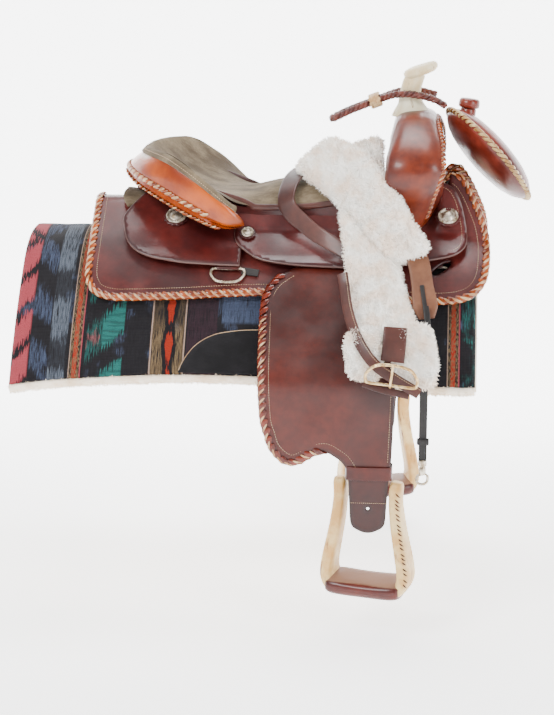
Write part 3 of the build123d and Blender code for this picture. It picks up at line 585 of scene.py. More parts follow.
def leather(name, dark, light, rough=0.42, coat=0.2, grain=0.25, mottle=9.0, edge=False, pale=None):
    s = Shader(name)
    where = s.coords()
    patches = s.remap(s.noise(where, mottle, 4), 0.34, 0.68)
    color = s.mix(patches, dark, light)
    fine = s.remap(s.noise(where, 95, 3), 0.3, 0.75, 0.0, 0.35)
    color = s.mix(fine, color, dimmed(dark, 0.55))
    if edge:
        distance = s.attribute("edge")
        color = s.mix(s.remap(distance, 0.6, 9.0, 0.62, 0.0), color, dimmed(dark, 0.30))
        # painted highlight: a light line along the cut edge
        if pale is not None:
            color = s.mix(s.remap(distance, 0.2, 1.6, 0.85, 0.0), color, pale)
    pores = s.math("ADD", s.cells(where, 420), s.times(s.noise(where, 130, 3), 1.4))
    s.bump(pores, grain * 0.4, 0.0003)
    shine = s.remap(s.noise(where, 22, 3), 0.3, 0.7, rough - 0.07, rough + 0.08)
    return s.finish(color, shine, Coat_Weight=coat * 0.5, Coat_Roughness=0.14, Specular_IOR_Level=0.32)


def suede(name, dark, light):
    s = Shader(name)
    where = s.coords((1.0, 2.2, 1.0))
    color = s.mix(s.remap(s.noise(where, 14, 5, 0.65), 0.32, 0.7), dark, light)
    color = s.mix(s.remap(s.noise(where, 160, 4, 0.7), 0.35, 0.75, 0.0, 0.55), color, dark)
    s.bump(s.noise(where, 420, 5, 0.75), 0.6, 0.0008)
    return s.finish(color, 0.95, Sheen_Weight=0.08, Sheen_Roughness=0.6, Specular_IOR_Level=0.1)


def rawhide(name, dark, light, stain):
    s = Shader(name)
    where = s.coords()
    color = s.mix(s.remap(s.noise(where, 24, 4), 0.35, 0.66), dark, light)
    marks = s.remap(s.noise(s.coords((1, 1, 0.35)), 70, 5, 0.65, 0.6), 0.57, 0.72)
    color = s.mix(marks, color, stain)
    s.bump(s.noise(where, 120, 5, 0.6), 0.5, 0.0012)
    return s.finish(color, 0.46, Coat_Weight=0.12, Coat_Roughness=0.3)


def metal(name, dark, light, rough):
    s = Shader(name)
    where = s.coords()
    color = s.mix(s.remap(s.noise(where, 130, 4), 0.35, 0.65), dark, light)
    s.bump(s.noise(where, 200, 3), 0.1, 0.0003)
    shine = s.remap(s.noise(where, 60, 3), 0.3, 0.7, rough - 0.06, rough + 0.14)
    return s.finish(color, shine, Metallic=0.8)


def fleece(name, shade, light):
    s = Shader(name)
    where = s.coords()
    color = s.mix(s.remap(s.noise(where, 30, 4), 0.34, 0.62), shade, light)
    s.bump(s.noise(where, 240, 5, 0.8), 0.7, 0.0015)
    return s.finish(color, 1.0, Sheen_Weight=0.5, Sheen_Roughness=0.5, Specular_IOR_Level=0.1)


def wood(name, dark, light):
    s = Shader(name)
    where = s.coords((1, 8, 8))
    color = s.mix(s.remap(s.noise(where, 9, 5), 0.3, 0.7), dark, light)
    s.bump(s.noise(where, 40, 4), 0.3, 0.0006)
    return s.finish(color, 0.7)


def wear_and_painted_light(name, base_dark, base_light, wear_and_highlight_color, low, high, rough=0.27, coat=0.5):
    """leather rubbed lighter where the edge attribute is high, which on the cantle roll is also a painted
    highlight; painted shade where it is below zero
    """
    s = Shader(name)
    where = s.coords()
    color = s.mix(s.remap(s.noise(where, 14, 4), 0.34, 0.68), base_dark, base_light)
    blotches = s.times(s.math("SUBTRACT", s.noise(where, 60, 4), 0.5), 0.5)
    wear_and_highlight = s.math("ADD", s.attribute("edge"), blotches)
    # painted shade: below zero the edge attribute darkens the colour
    painted_shade = s.remap(s.attribute("edge"), -1.0, 0.0, 0.85, 0.0)
    color = s.mix(painted_shade, color, dimmed(base_dark, 0.3))
    # the lighter mix is wear, and on the cantle roll also a painted highlight
    color = s.mix(s.remap(wear_and_highlight, low, high), color, wear_and_highlight_color)
    s.bump(s.math("ADD", s.cells(where, 640), s.times(s.noise(where, 140, 4), 1.6)), 0.2, 0.0005)
    shine = s.remap(wear_and_highlight, low, high, rough, rough + 0.25)
    return s.finish(color, shine, Coat_Weight=coat * 0.5, Coat_Roughness=0.14, Specular_IOR_Level=0.32)


def ikat(name):
    """the pad's woven cloth; u runs along the saddle and v down the flank, in metres"""
    s = Shader(name)
    uv = s.split(s.coords(kind="UV"))
    x, down = uv[0], s.math("ABSOLUTE", uv[1])
    black, charcoal = deep(22, 20, 23), deep(52, 50, 56)
    slate, steel = deep(74, 84, 108), deep(100, 108, 120)
    rose, teal = deep(176, 76, 84), deep(44, 112, 106)
    red, tan, cream = deep(166, 50, 32), deep(128, 106, 78), deep(180, 152, 136)
    ragged = s.noise(s.coords((1, 0.06, 1), "UV"), 420, 2, 0.7)
    jag = s.times(s.math("SUBTRACT", ragged, 0.5), 0.07)
    threads = s.noise(s.coords((1, 0.03, 1), "UV"), 950, 2, 0.8)
    patches = s.noise(s.coords((1.0, 0.7, 1), "UV"), 26, 3, 0.6, 0.4)
    brushed = s.times(s.remap(threads, 0.44, 0.56), s.remap(patches, 0.56, 0.66, 0.0, 0.75))
    color = s.mix(s.remap(threads, 0.35, 0.8, 0.0, 0.4), black, charcoal)
    color = s.mix(brushed, color, slate)

    def between(value, low, high, soft=0.0006):
        return s.times(s.remap(value, low - soft, low + soft), s.remap(value, high - soft, high + soft, 1, 0))

    def wave(period, phase=0.0, slant=0.0):
        place = s.math("ADD", s.math("ADD", down, jag), phase)
        return s.math("PINGPONG", s.math("ADD", place, s.times(x, slant)), period / 2)

    def band(low, high, paint, mask=None, soft=0.0006):
        nonlocal color
        chosen = between(x, low, high, soft)
        if mask is not None:
            chosen = s.times(chosen, mask)
        color = s.mix(chosen, color, paint)

    # slanted rose blocks at the rear edge, grey columns beside them
    slanted = s.times(s.remap(wave(0.070, 0.0, 1.1), 0.009, 0.013), s.remap(threads, 0.25, 0.4, 0.7, 1.0))
    band(-0.60, -0.441, rose, slanted, 0.002)
    broken = s.times(s.remap(threads, 0.44, 0.56), s.remap(wave(0.10, 0.03, -0.9), 0.020, 0.030))
    band(-0.438, -0.408, slate, broken)
    column = s.times(s.remap(threads, 0.38, 0.54), s.remap(wave(0.13, 0.03), 0.024, 0.034, 0.15, 1.0))
    band(-0.406, -0.377, steel, column)
    # narrow red bands with black dashes
    for start in (-0.371, 0.260):
        band(start, start + 0.0014, cream)
        dashes = s.remap(wave(0.014), 0.0030, 0.0040)
        band(start + 0.0014, start + 0.0186, tan, s.remap(threads, 0.3, 0.5, 0.5, 1.0))
        band(start + 0.0014, start + 0.0186, black, dashes)
        band(start + 0.0062, start + 0.0134, red, s.remap(wave(0.014), 0.0018, 0.0034, 0.15, 0.95))
        band(start + 0.0186, start + 0.0204, rose)
    # teal blocks cut by black diagonals
    blocks = s.remap(wave(0.105, 0.045, 0.9), 0.020, 0.026)
    band(-0.345, -0.318, teal, s.times(s.times(blocks, s.remap(threads, 0.46, 0.54)), 0.7))
    blush = s.times(s.remap(wave(0.1, 0.05), 0.040, 0.046), s.remap(threads, 0.46, 0.54, 0.0, 0.6))
    band(-0.345, -0.322, rose, blush)
    streaks = s.noise(s.coords((0.2, 1, 1), "UV"), 180, 2)
    band(-0.318, -0.282, teal, s.times(blocks, s.remap(streaks, 0.35, 0.6, 0.55, 1.0)))
    # tan bands with a broken red heart
    for low in (-0.236, 0.085):
        faint = s.times(s.remap(threads, 0.42, 0.54), s.remap(down, 0.155, 0.20, 0.35, 1.0))
        band(low, low + 0.0024, cream, s.remap(threads, 0.3, 0.5, 0.5, 1.0))
        band(low + 0.0024, low + 0.056, tan, faint)
        off_centre = s.math("ABSOLUTE", s.math("SUBTRACT", x, low + 0.0315))
        heart = s.math("ADD", off_centre, s.times(wave(0.07), 0.17))
        band(low + 0.012, low + 0.050, black, s.remap(heart, 0.0125, 0.0145, 1, 0))
        flame = s.times(s.remap(heart, 0.0068, 0.0078, 1, 0), s.remap(wave(0.07), 0.026, 0.028, 1, 0))
        band(low + 0.020, low + 0.044, red, flame)
        band(low + 0.056, low + 0.0582, cream, s.remap(threads, 0.3, 0.5, 0.4, 1.0))
    band(-0.175, -0.125, deep(52, 34, 42), s.remap(threads, 0.35, 0.55))
    panel = s.times(s.remap(threads, 0.3, 0.55), between(down, 0.10, 0.168, 0.004))
    band(-0.118, -0.040, slate, panel)
    band(0.284, 0.330, teal, s.times(s.remap(threads, 0.50, 0.58), s.remap(patches, 0.46, 0.6)))
    color = s.mix(s.remap(s.noise(s.coords((1, 1, 1), "UV"), 700, 2), 0.35, 0.7, 0.0, 0.35), color, black)
    rib = s.math("SINE", s.times(x, 3400.0))
    weft = s.math("SINE", s.times(uv[1], 2300.0))
    s.bump(s.math("ADD", rib, s.math("ADD", weft, s.times(threads, 2.0))), 0.5, 0.0004)
    return s.finish(color, 0.92, Sheen_Weight=0.08, Specular_IOR_Level=0.12)


PAINT = {}


def painted(name, recipe, *settings, **more):
    PAINT[name] = recipe(name, *settings, **more)


painted("skirt_leather", leather, deep(62, 20, 19), deep(104, 40, 35), 0.38, 0.3, edge=True)
# the jockeys' cut edges carry a painted highlight
painted("jockey_leather", leather, deep(66, 20, 20), deep(106, 40, 36), 0.36, 0.35, edge=True,
        pale=deep(112, 84, 78))
painted("plain_burgundy", leather, deep(52, 18, 18), deep(84, 32, 29), 0.42, 0.2)
painted("fender_leather", leather, deep(56, 18, 13), deep(98, 34, 22), 0.36, 0.22, edge=True, mottle=5.0)
painted("strap_red", leather, deep(54, 17, 15), deep(92, 33, 24), 0.4, 0.15)
painted("fork_leather", leather, deep(84, 27, 15), deep(134, 54, 29), 0.36, 0.3, 0.15, 14.0)
# the near-white colour is the cantle roll's wear patch and painted highlight
painted("cantle_leather", wear_and_painted_light, deep(140, 52, 14), deep(204, 94, 28), deep(244, 226, 214), 0.45, 0.95)
painted("tread", wear_and_painted_light, deep(62, 18, 15), deep(104, 38, 28), deep(150, 112, 92), 0.35, 0.9, 0.34, 0.3)
painted("strap_leather", leather, deep(58, 28, 24), deep(96, 52, 42), 0.42, 0.15)
painted("tug_leather", leather, deep(104, 64, 44), deep(146, 98, 72), 0.5, 0.08)
painted("black_leather", leather, deep(16, 13, 13), deep(40, 33, 31), 0.5, 0.1)
painted("canteen_leather", leather, deep(88, 28, 19), deep(140, 56, 42), 0.34, 0.3, 0.2, 16.0)
painted("lacing", leather, deep(112, 44, 16), deep(186, 90, 38), 0.26, 0.5, 0.1, 60.0)
painted("lacing_dark", leather, deep(84, 26, 15), deep(136, 50, 28), 0.28, 0.5, 0.1, 60.0)
# painted highlights: the cream strands between the laces stand in for glints on the glossy lacing
painted("lacing_cream", leather, deep(184, 124, 80), deep(240, 206, 162), 0.3, 0.4, 0.1, 60.0)
painted("canteen_lacing", leather, deep(168, 120, 60), deep(238, 208, 150), 0.34, 0.3, 0.15, 60.0)
painted("braid", leather, deep(70, 26, 22), deep(128, 62, 48), 0.34, 0.35, 0.15, 60.0)
painted("knot_leather", leather, deep(206, 158, 104), deep(255, 224, 178), 0.45, 0.15, 0.2, 60.0)
painted("suede", suede, deep(88, 74, 58), deep(146, 130, 106))
painted("rawhide", rawhide, deep(222, 168, 92), deep(255, 222, 158), deep(130, 74, 34))
painted("horn_rawhide", rawhide, deep(240, 212, 160), deep(255, 246, 214), deep(150, 108, 60))
painted("fleece", fleece, linear(250, 234, 218), linear(255, 252, 246))
painted("lining_fleece", fleece, linear(238, 216, 188), linear(252, 240, 222))
painted("pad_weave", ikat)
painted("velvet", suede, deep(14, 13, 15), deep(30, 28, 31))
painted("nickel", metal, deep(170, 150, 124), deep(246, 234, 214), 0.32)
painted("antique_silver", metal, deep(150, 130, 104), deep(250, 240, 222), 0.36)
painted("brass", metal, deep(196, 152, 96), deep(255, 226, 176), 0.28)
painted("steel", metal, deep(110, 108, 104), deep(170, 168, 164), 0.35)
painted("tree_wood", wood, deep(120, 86, 52), deep(176, 136, 92))
painted("thread", fleece, deep(168, 132, 100), deep(206, 176, 142))
painted("seam", leather, deep(16, 12, 12), deep(34, 24, 22), 0.7, 0.0)
# the CAD's own nodes; the skirt and fender leathers need an edge attribute, which CAD meshes don't have
SLOTS = {s["node"]: s["material_slot"] for s in frame["record"]["subparts"]}
for node_name, node_object in frame["nodes"].items():
    slot = SLOTS.get(node_name)
    chosen = "plain_burgundy" if slot not in PAINT or slot in ("skirt_leather", "fender_leather") else slot
    node_object.data.materials.clear()
    node_object.data.materials.append(PAINT[chosen])


# ------------------------------------------------------------ fleece
BAND_END, BAND_SIDES = 16.0, 36


def scatter_on(verts, quads, count):
    """random points on a mesh of quads, with their normals"""
    tris = np.array([f[:3] for f in quads] + [(f[0], f[2], f[3]) for f in quads])
    a, b, c = verts[tris[:, 0]], verts[tris[:, 1]], verts[tris[:, 2]]
    cross = np.cross(b - a, c - a)
    area = np.linalg.norm(cross, axis=1)
    chosen = RNG.choice(len(tris), count, p=area / area.sum())
    r, t = np.sqrt(RNG.random(count)), RNG.random(count)
    points = (1 - r)[:, None] * a[chosen] + (r * (1 - t))[:, None] * b[chosen] + (r * t)[:, None] * c[chosen]
    return points, unit(cross[chosen])


def wool(points, normals, length, width):
    """short curled locks standing on a surface"""
    count = len(points)
    side = unit(np.cross(normals, RNG.normal(size=(count, 3))))
    lean = unit(RNG.normal(size=(count, 3)))
    tall = length * RNG.uniform(0.5, 1.0, (count, 1))
    base = points - normals * 1.5
    middle = points + (normals * 0.45 + lean * 0.30) * tall
    tip = middle + (normals * 0.25 + unit(lean + side * 1.2) * 0.40) * tall
    rows = []
    for at, wide in ((base, 1.0), (middle, 0.9), (tip, 0.25)):
        rows += [at - side * width * wide, at + side * width * wide]
    verts = np.stack(rows, 1).reshape(-1, 3)
    first = np.arange(count)[:, None] * 6
    faces = np.vstack([first + np.array([0, 1, 3, 2]), first + np.array([2, 3, 5, 4])])
    return verts, [tuple(f) for f in faces.tolist()]


def lumps(points, size):
    """smooth random offsets, as tufts of wool give"""
    total = np.zeros((len(points), 1))
    for k, wave in enumerate((23.0, 13.0, 8.0)):
        turn, _ = np.linalg.qr(RNG.normal(size=(3, 3)))
        q = points @ turn / wave
        bumps = np.sin(q[:, 0]) * np.sin(q[:, 1] + k) * np.sin(q[:, 2] + 2 * k)
        total[:, 0] += bumps * size / (1 + 0.5 * k)
    return total


def fleece_band(name, stations, thick, locks, stands_for):
    """a padded fleece band through (centre, half width) stations; gives back the wool on it"""
    centres = curve([s[0] for s in stations], 5)
    count = len(centres)
    halves = curve([s[1] for s in stations], 1)
    halves = np.stack([respaced(halves[:, i], count) for i in range(3)], 1)
    tangent = unit(np.gradient(centres, axis=0))
    up = unit(np.cross(halves, tangent))
    up = np.where((up[:, 2:3] - up[:, 1:2]) < 0, -up, up)
    s = lengths(centres)
    near = np.minimum(s, s[-1] - s)
    close = np.sqrt(np.clip(1 - (1 - np.minimum(near / BAND_END, 1)) ** 2, 0.02, 1))
    rows = []
    for a in np.linspace(0, 2 * math.pi, BAND_SIDES, endpoint=False):
        x, y = squared(a, 0.62, 0.8)
        across = halves * (x * (0.25 + 0.75 * close))[:, None]
        rows.append(centres + across + up * (thick / 2 * y * close)[:, None])
    verts, faces = capped(np.stack(rows, 1))
    away = unit(verts - np.repeat(centres, BAND_SIDES, 0))
    verts = verts + away * lumps(verts, 1.6)
    pad = make(name, (verts, faces), "fleece", stands_for, sharp=180)
    points, normals = scatter_on(verts, [f for f in faces if len(f) == 4], locks)
    return wool(points, normals, 6.0, 0.75)


# ------------------------------------------------------------ saddle pad
PAD_REAR, PAD_FRONT, PAD_HALF = -472, 309, 330
HEM = [(PAD_REAR, 289), (-440, 284), (-382, 277), (-300, 271), (-232, 266.3), (-140, 264.6), (-48, 265),
       (60, 269), (176, 275.8), (250, 277), (PAD_FRONT, 277)]
QUILT_LINES = (-374.0, -346.0, -236.0, -177.0, 257.0, 284.0)
SEAM_DROP = 187.0


def pad_surface(x, t, out, longer=0.0):
    """t runs from -1 at the right hem, through the spine, to 1 at the left"""
    reach = np.abs(t) * (read(HEM, x) + longer - PAD_SPINE)
    y, z = pad_yz(x, PAD_SPINE + reach, out)
    return np.stack([x, np.sign(t) * y, z], -1), np.sign(t) * (PAD_SPINE + reach)


def pad_layer(name, layer, columns, rows, paint, node, tuck, relief, longer):
    """one closed layer of the pad, with rounded edges and a relief on its upper face"""
    x = np.linspace(PAD_REAR + tuck, PAD_FRONT - tuck, columns)
    gx, gt = np.meshgrid(x, np.linspace(-1, 1, rows), indexing="ij")
    side_d = np.minimum(gx - gx.min(), gx.max() - gx)
    d = np.minimum(side_d, (1 - np.abs(gt)) * PAD_HALF)
    swell = np.sqrt(np.clip(1 - (1 - np.minimum(d / 7.0, 1)) ** 2, 0.0, 1))
    mid, half = (layer[0] + layer[1]) / 2, (layer[1] - layer[0]) / 2
    top, across = pad_surface(gx, gt, mid + half * swell + relief(gx, gt) * np.minimum(d / 10, 1), longer)
    bottom, _ = pad_surface(gx, gt, mid - half * swell, longer)
    verts, faces = grid_mesh(top)
    low_verts, low_faces = grid_mesh(bottom)
    n = len(verts)
    faces = [f[::-1] for f in faces] + [tuple(i + n for i in f) for f in low_faces]
    ring = list(range(rows)) + [i * rows + rows - 1 for i in range(1, columns)]
    ring += [(columns - 1) * rows + j for j in range(rows - 2, -1, -1)]
    ring += [i * rows for i in range(columns - 2, 0, -1)]
    for a, b in zip(ring, ring[1:] + ring[:1]):
        faces.append((a, b, b + n, a + n))
    flat = np.stack([gx, across], -1).reshape(-1, 2)
    pad = make(name, (np.vstack([verts, low_verts]), faces), paint, [node], sharp=60,
               uv=np.vstack([flat, flat]))


def pad_relief(x, t):
    """sewn channels pressed into the cloth"""
    reach = np.abs(t) * (read(HEM, x) - PAD_SPINE) + PAD_SPINE
    seam = np.exp(-((reach - SEAM_DROP) / 2.2) ** 2) * 1.5
    for line in QUILT_LINES:
        seam = seam + np.exp(-((x - line) / 1.8) ** 2) * 0.7
    return ripple(x, reach, 0.5, 21.0, 3) - seam


def lining_relief(x, t):
    return ripple(x, t * 320, 0.4, 6.0, 1)


pad_layer("pad_weave_top", (10.2, 20), 200, 190, "pad_weave", "saddle_pad_shell", 2.5, pad_relief, -6.0)
pad_layer("pad_fleece_lining", (0.2, 10.2), 110, 120, "lining_fleece", "saddle_pad_lining", 0.0,
          lining_relief, -2.0)


def hem_roll(side, tufts=11000, sides=16):
    """the fleece lining's thick lower edge, and the wool on it"""
    x = np.linspace(PAD_REAR + 4, PAD_FRONT - 4, 300)
    place = on(pad_yz, side)
    hem = read(HEM, x)
    path = place(x, hem - 1.5, 8.2)
    verts, faces = sweep(path, 6.6, 8.0, up=place(x, hem, 9.2) - place(x, hem, 8.2), sides=sides)
    verts = verts + lumps(verts, 0.7)
    around = verts.reshape(len(x), sides, 3)
    row, column = RNG.integers(0, len(x), tufts), RNG.integers(0, sides, tufts)
    spots = around[row, column] + RNG.normal(0, 0.9, (tufts, 3))
    return (verts, faces), wool(spots, unit(spots - path[row]), 3.0, 0.6)


for side_name, side in SIDES.items():
    core, tufts = hem_roll(side)
    make(f"pad_hem_{side_name}", core, "lining_fleece", sharp=180)
    make(f"pad_hem_wool_{side_name}", tufts, "lining_fleece", sharp=180)

# wear patch with its curved piping
WEAR = [[(-186, 257), (-178, 236), (-160, 210), (-134, 192), (-104, 184), (-60, 180), (40, 180), (84, 188),
         (112, 214), (126, 258)], [(126, 258), (-186, 257)]]
for side_name, side in SIDES.items():
    place = on(pad_yz, side)
    data, edge, loop = sheet(WEAR, place, (20.3, 22.0), step=9)
    make(f"pad_wear_leather_{side_name}", data, "velvet",
         ["pad_wear_leathers"] if side == RIGHT else [], edge=edge)
    line = even(pick(loop, lambda u, v: v < 254), 5)
    make(f"pad_piping_{side_name}", sweep(place(line[:, 0], line[:, 1], 21.2), 0.8, sides=6), "thread")
    seam = np.stack([np.linspace(-346, PAD_FRONT, 180), np.full(180, SEAM_DROP)], 1)
    make(f"pad_seam_{side_name}", stitches(seam, place, 18.9, 5.0, 3.4, 0.45), "seam")

# ------------------------------------------------------------ skirts
SKIRT_YZ = turned_up(252)
SKIRT_EDGE = [(-353, -93), (-353, -60), (-353, 20), (-353, 78), (-348, 104), (-333, 124), (-306, 133),
              (-270, 133), (-189, 129), (-55, 120), (60, 123), (160, 128), (233, 131), (276, 127), (303, 114),
              (319, 90), (325, 58), (325, 12), (319, -20), (309, -46), (295, -76), (280, -97), (262, -106),
              (249, -101)]
SKIRT_RUNS = [SKIRT_EDGE, [(249, -101), (246, -93)], [(246, -93), (-353, -93)]]
SLOT_HOLE = [(262, 52), (264, 58), (256, 67), (243, 77), (233, 80), (231, 74), (240, 64), (252, 54),
             (262, 52)]
POCKET = circle(247, 68, 30, 25)

for side_name, side in SIDES.items():
    key, place = f"skirt_{side_name}", on(SKIRT_YZ, side)
    data, edge, loop = sheet(SKIRT_RUNS, place, (32, 36.5), step=6, holes=[SLOT_HOLE], seed=side)
    make(f"{key}_leather", data, "skirt_leather", [key], edge=edge)
    line = pick(loop, lambda u, v: v > -92 or u > 250)
    make(f"{key}_lacing", whip(line, place, 34.2, 2.6, 14.6, 4.9, 5.4, 2.2, 27.0), "lacing",
         ["skirt_lacing"])
    # cream strands: painted highlights on the lacing
    make(f"{key}_lacing_cream", whip(line, place, 34.4, 2.9, 14.6, 2.4, 4.2, 2.7, 25.0, 0.5), "lacing_cream")
    seam = pick(inset(loop, 16.5), lambda u, v: v > -84 or u > 262)
    make(f"{key}_stitching", stitches(seam, place, 36.7), "thread")
    lining = sheet(SKIRT_RUNS, place, (20.8, 31.6), step=12, roll=5, holes=[POCKET], shrink=6)[0]
    make(f"{key}_fleece", lining, "lining_fleece", [f"skirt_lining_{side_name}"])
    # painted shade: a black disc at the bottom of the dee slot stands in for the shade inside it
    slot_shade = sheet([POCKET], place, (20.6, 21.4), step=8)[0]
    make(f"{key}_slot_painted_shade", slot_shade, "black_leather")

# ------------------------------------------------------------ jockeys
REAR_JOCKEY = [[(-248, -93), (-262, -84), (-284, -54), (-299, -22), (-296, 2), (-290, 26), (-280, 42),
                (-264, 55), (-243, 64), (-219, 69), (-190, 74), (-159, 76), (-125, 77), (-92, 77)],
               [(-92, 77), (-92, -93)], [(-92, -93), (-248, -93)]]
SEAT_JOCKEY = [[(-104, -30), (-105, 8), (-104, 24), (-98, 37), (-84, 50), (-62, 63), (-40, 70), (-10, 75),
                (30, 78), (87, 80), (160, 81)], [(160, 81), (160, -38)],
               [(160, -38), (-60, -38), (-104, -30)]]
FRONT_JOCKEY = [[(150, 80), (190, 71), (228, 62), (258, 55), (276, 46), (287, 32), (290, 14), (288, -8),
                 (284, -28), (277, -52), (268, -68), (257, -77), (244, -80), (230, -74), (222, -50),
                 (216, -20), (205, 4), (186, 18), (150, 24)], [(150, 24), (150, 80)]]
# the rough flesh side that shows at the crest behind the cantle
FLESH = [[(-236, -93), (-284, -93), (-302, -90), (-306, -68), (-296, -46)],
         [(-296, -46), (-262, -62), (-236, -93)]]


def flesh_lift(u, v, d):
    return 3.0 * smooth(-u, 270, 300)


def rear_lift(u, v, d):
    return 2.6 * smooth(v, 40, 78) * smooth(-u, 80, 160) + 1.5 * smooth(-u, 270, 300)


def seat_lift(u, v, d):
    return 3.6 * smooth(-u, 66, 90) + 3.4 * smooth(v, 58, 78)


def front_lift(u, v, d):
    return 2.0 * smooth(v, 30, 60)


def jockey(name, runs, yz, layer, lift, seam_keep=None):
    """one leaf on each side; lift curls its edges, seam_keep says where it is stitched"""
    for side_name, side in SIDES.items():
        place = on(yz, side)
        data, edge, loop = sheet(runs, place, layer, step=6, lift=lift, roll=1.4, rough=0.5, seed=side * 2)
        stands_for = [f"{name}s"] if side == RIGHT else []
        make(f"{name}_{side_name}", data, "jockey_leather", stands_for, edge=edge)
        if seam_keep:
            seam = pick(inset(loop, 9.0), seam_keep)
            make(f"{name}_{side_name}_stitching", stitches(seam, place, layer[1] + 0.3), "thread")


for side_name, side in SIDES.items():
    flesh = sheet(FLESH, on(saddle_yz, side), (44.6, 47.6), step=6, lift=flesh_lift)[0]
    make(f"rear_jockey_flesh_{side_name}", flesh, "suede")
jockey("rear_jockey", REAR_JOCKEY, saddle_yz, (48, 52.2), rear_lift)
jockey("seat_jockey", SEAT_JOCKEY, steep_yz, (48.3, 52.4), seat_lift)
jockey("front_jockey", FRONT_JOCKEY, turned_up(236), (48.2, 52.4), front_lift, lambda u, v: u > 240 or v > 40)

# ------------------------------------------------------------ conchos and rosettes
PETALS, BEADS = 14, 26
ROSETTE_PROFILE = ((0.2, 0.0), (1.0, 0.0), (1.0, 2.2), (0.93, 3.0), (0.2, 3.0))


def concho(place, u, v, out, r, rosette):
    """the scalloped leather rosette and the domed, beaded disc on it"""
    base = frame_on(place, u, v, out)
    origin, ex, ey, ez = base
    angles = np.arange(72) * 2 * math.pi / 72
    petal = rosette * (1 + 0.045 * np.cos(angles * PETALS))
    rim_at = np.outer(np.cos(angles), ex) + np.outer(np.sin(angles), ey)
    leaf = [origin + rim_at * (petal * scale)[:, None] + height * ez for scale, height in ROSETTE_PROFILE]
    dome = [(0.05, 3.2), (r, 3.2), (r, 4.6), (r * 0.93, 5.8), (r * 0.80, 6.0), (r * 0.72, 5.0),
            (r * 0.66, 4.7), (r * 0.60, 5.2), (r * 0.50, 7.2), (r * 0.36, 8.6), (r * 0.18, 9.2), (0.05, 9.3)]
    beads = Heap()
    for a in np.arange(BEADS) * 2 * math.pi / BEADS:
        c = origin + ez * 6.1 + r * 0.87 * (math.cos(a) * ex + math.sin(a) * ey)
        t = -math.sin(a) * ex + math.cos(a) * ey
        n = math.cos(a) * ex + math.sin(a) * ey
        path = np.array([c + (t * 0.8 + n * 0.55) * k * r * 0.10 for k in (-1, -0.5, 0.5, 1)])
        beads.add(*sweep(path, r * 0.065 * np.array([0.4, 1, 1, 0.4]), sides=6))
    return grid_mesh(np.array(leaf), close_v=True), merged(lathe(dome, base, 64), beads.data())


for side_name, side in SIDES.items():
    spots = {
        "rear": (on(saddle_yz, side), -208, -20, 53.6, 17.5, 21.0, "conchos_large"),
        "mid": (on(steep_yz, side), -82, 17, 57.4, 10.5, 13.5, "conchos_small"),
        "front": (on(turned_up(236), side), 257, -18, 56.0, 17.5, 21.0, "conchos_large"),
    }
    for key, (*where, node) in spots.items():
        leaf, disc = concho(*where)
        make(f"rosette_{key}_{side_name}", leaf, "plain_burgundy", ["concho_rosettes"],
             sharp=40)
        make(f"concho_{key}_{side_name}", disc, "antique_silver", [node], sharp=35)

# ------------------------------------------------------------ cantle roll and seat
RIM = [(-262, 0, 160), (-250, 58, 165), (-207, 116, 160), (-158, 142, 131), (-112, 144, 90), (-82, 132, 60)]
FOOT = [(-296, 0, 121), (-272, 66, 108), (-218, 112, 84), (-168, 131, 61), (-124, 133, 44), (-90, 124, 42)]
STATIONS, ROLL_COLUMNS = 161, 30
LACE_STEP, TIP_FROM = 14.5, 0.93


def both_sides(points):
    return [(x, -y, z) for x, y, z in reversed(points[1:])] + list(points)


rim = even(curve(both_sides(RIM), 4), count=STATIONS)
foot = even(curve(both_sides(FOOT), 4), count=STATIONS)
outward = unit(np.stack([rim[:, 0] + 110, rim[:, 1], 0 * rim[:, 0]], 1))


def roll_section(i, w):
    """point on the cantle roll: w runs from the suede's edge over the face to the foot"""
    r, f, o = rim[i], foot[i], outward[i]
    knots = np.array([r - o * 10 - UP * 14, r - UP * 6 - o * 2, r * 0.84 + f * 0.16 + o * 6 - UP * 1,
                      r * 0.5 + f * 0.5 + o * 12, r * 0.2 + f * 0.8 + o * 11, f + o * 3, f - o * 9 - UP * 1,
                      ])
    at = w * (len(knots) - 1)
    k = np.clip(at.astype(int), 0, len(knots) - 2)
    pad = np.vstack([2 * knots[0] - knots[1], knots, 2 * knots[-1] - knots[-2]])
    return spline(pad[k], pad[k + 1], pad[k + 2], pad[k + 3], (at - k)[:, None])


roll_w = np.linspace(0, 1, ROLL_COLUMNS)
roll_points = np.array([roll_section(i, roll_w) for i in range(STATIONS)])
tip = np.abs(np.linspace(-1, 1, STATIONS))
shrink = np.sqrt(np.clip(1 - ((np.maximum(tip, TIP_FROM) - TIP_FROM) / 0.07) ** 2, 0.0, 1))
core = roll_points.mean(1, keepdims=True)
groove = np.exp(-((roll_w[None, :] - 0.72) / 0.03) ** 2) * (1.2 + 5.5 * smooth(tip, 0.72, 0.86)[:, None])
roll_points = roll_points - outward[:, None, :] * groove[:, :, None]
roll_points = core + (roll_points - core) * (0.12 + 0.88 * shrink)[:, None, None]
roll_data = grid_mesh(roll_points)
# a whitish wear patch at the roll's top rear corner, which is also a painted highlight
wear_patch_and_highlight = np.clip(1.3 - np.linalg.norm((roll_data[0] - [-258, -52, 158]) / [34, 40, 15], axis=1), 0, 1)
# painted shade: the roll darker towards its tips and its foot
roll_painted_shade = np.add.outer(0.6 * smooth(tip, 0.82, 1.0), 0.8 * smooth(roll_w, 0.66, 1.0)).ravel()
make("cantle_roll_leather", roll_data, "cantle_leather", ["cantle_roll", "tree_cantle"],
     sharp=70, edge=wear_patch_and_highlight - roll_painted_shade)


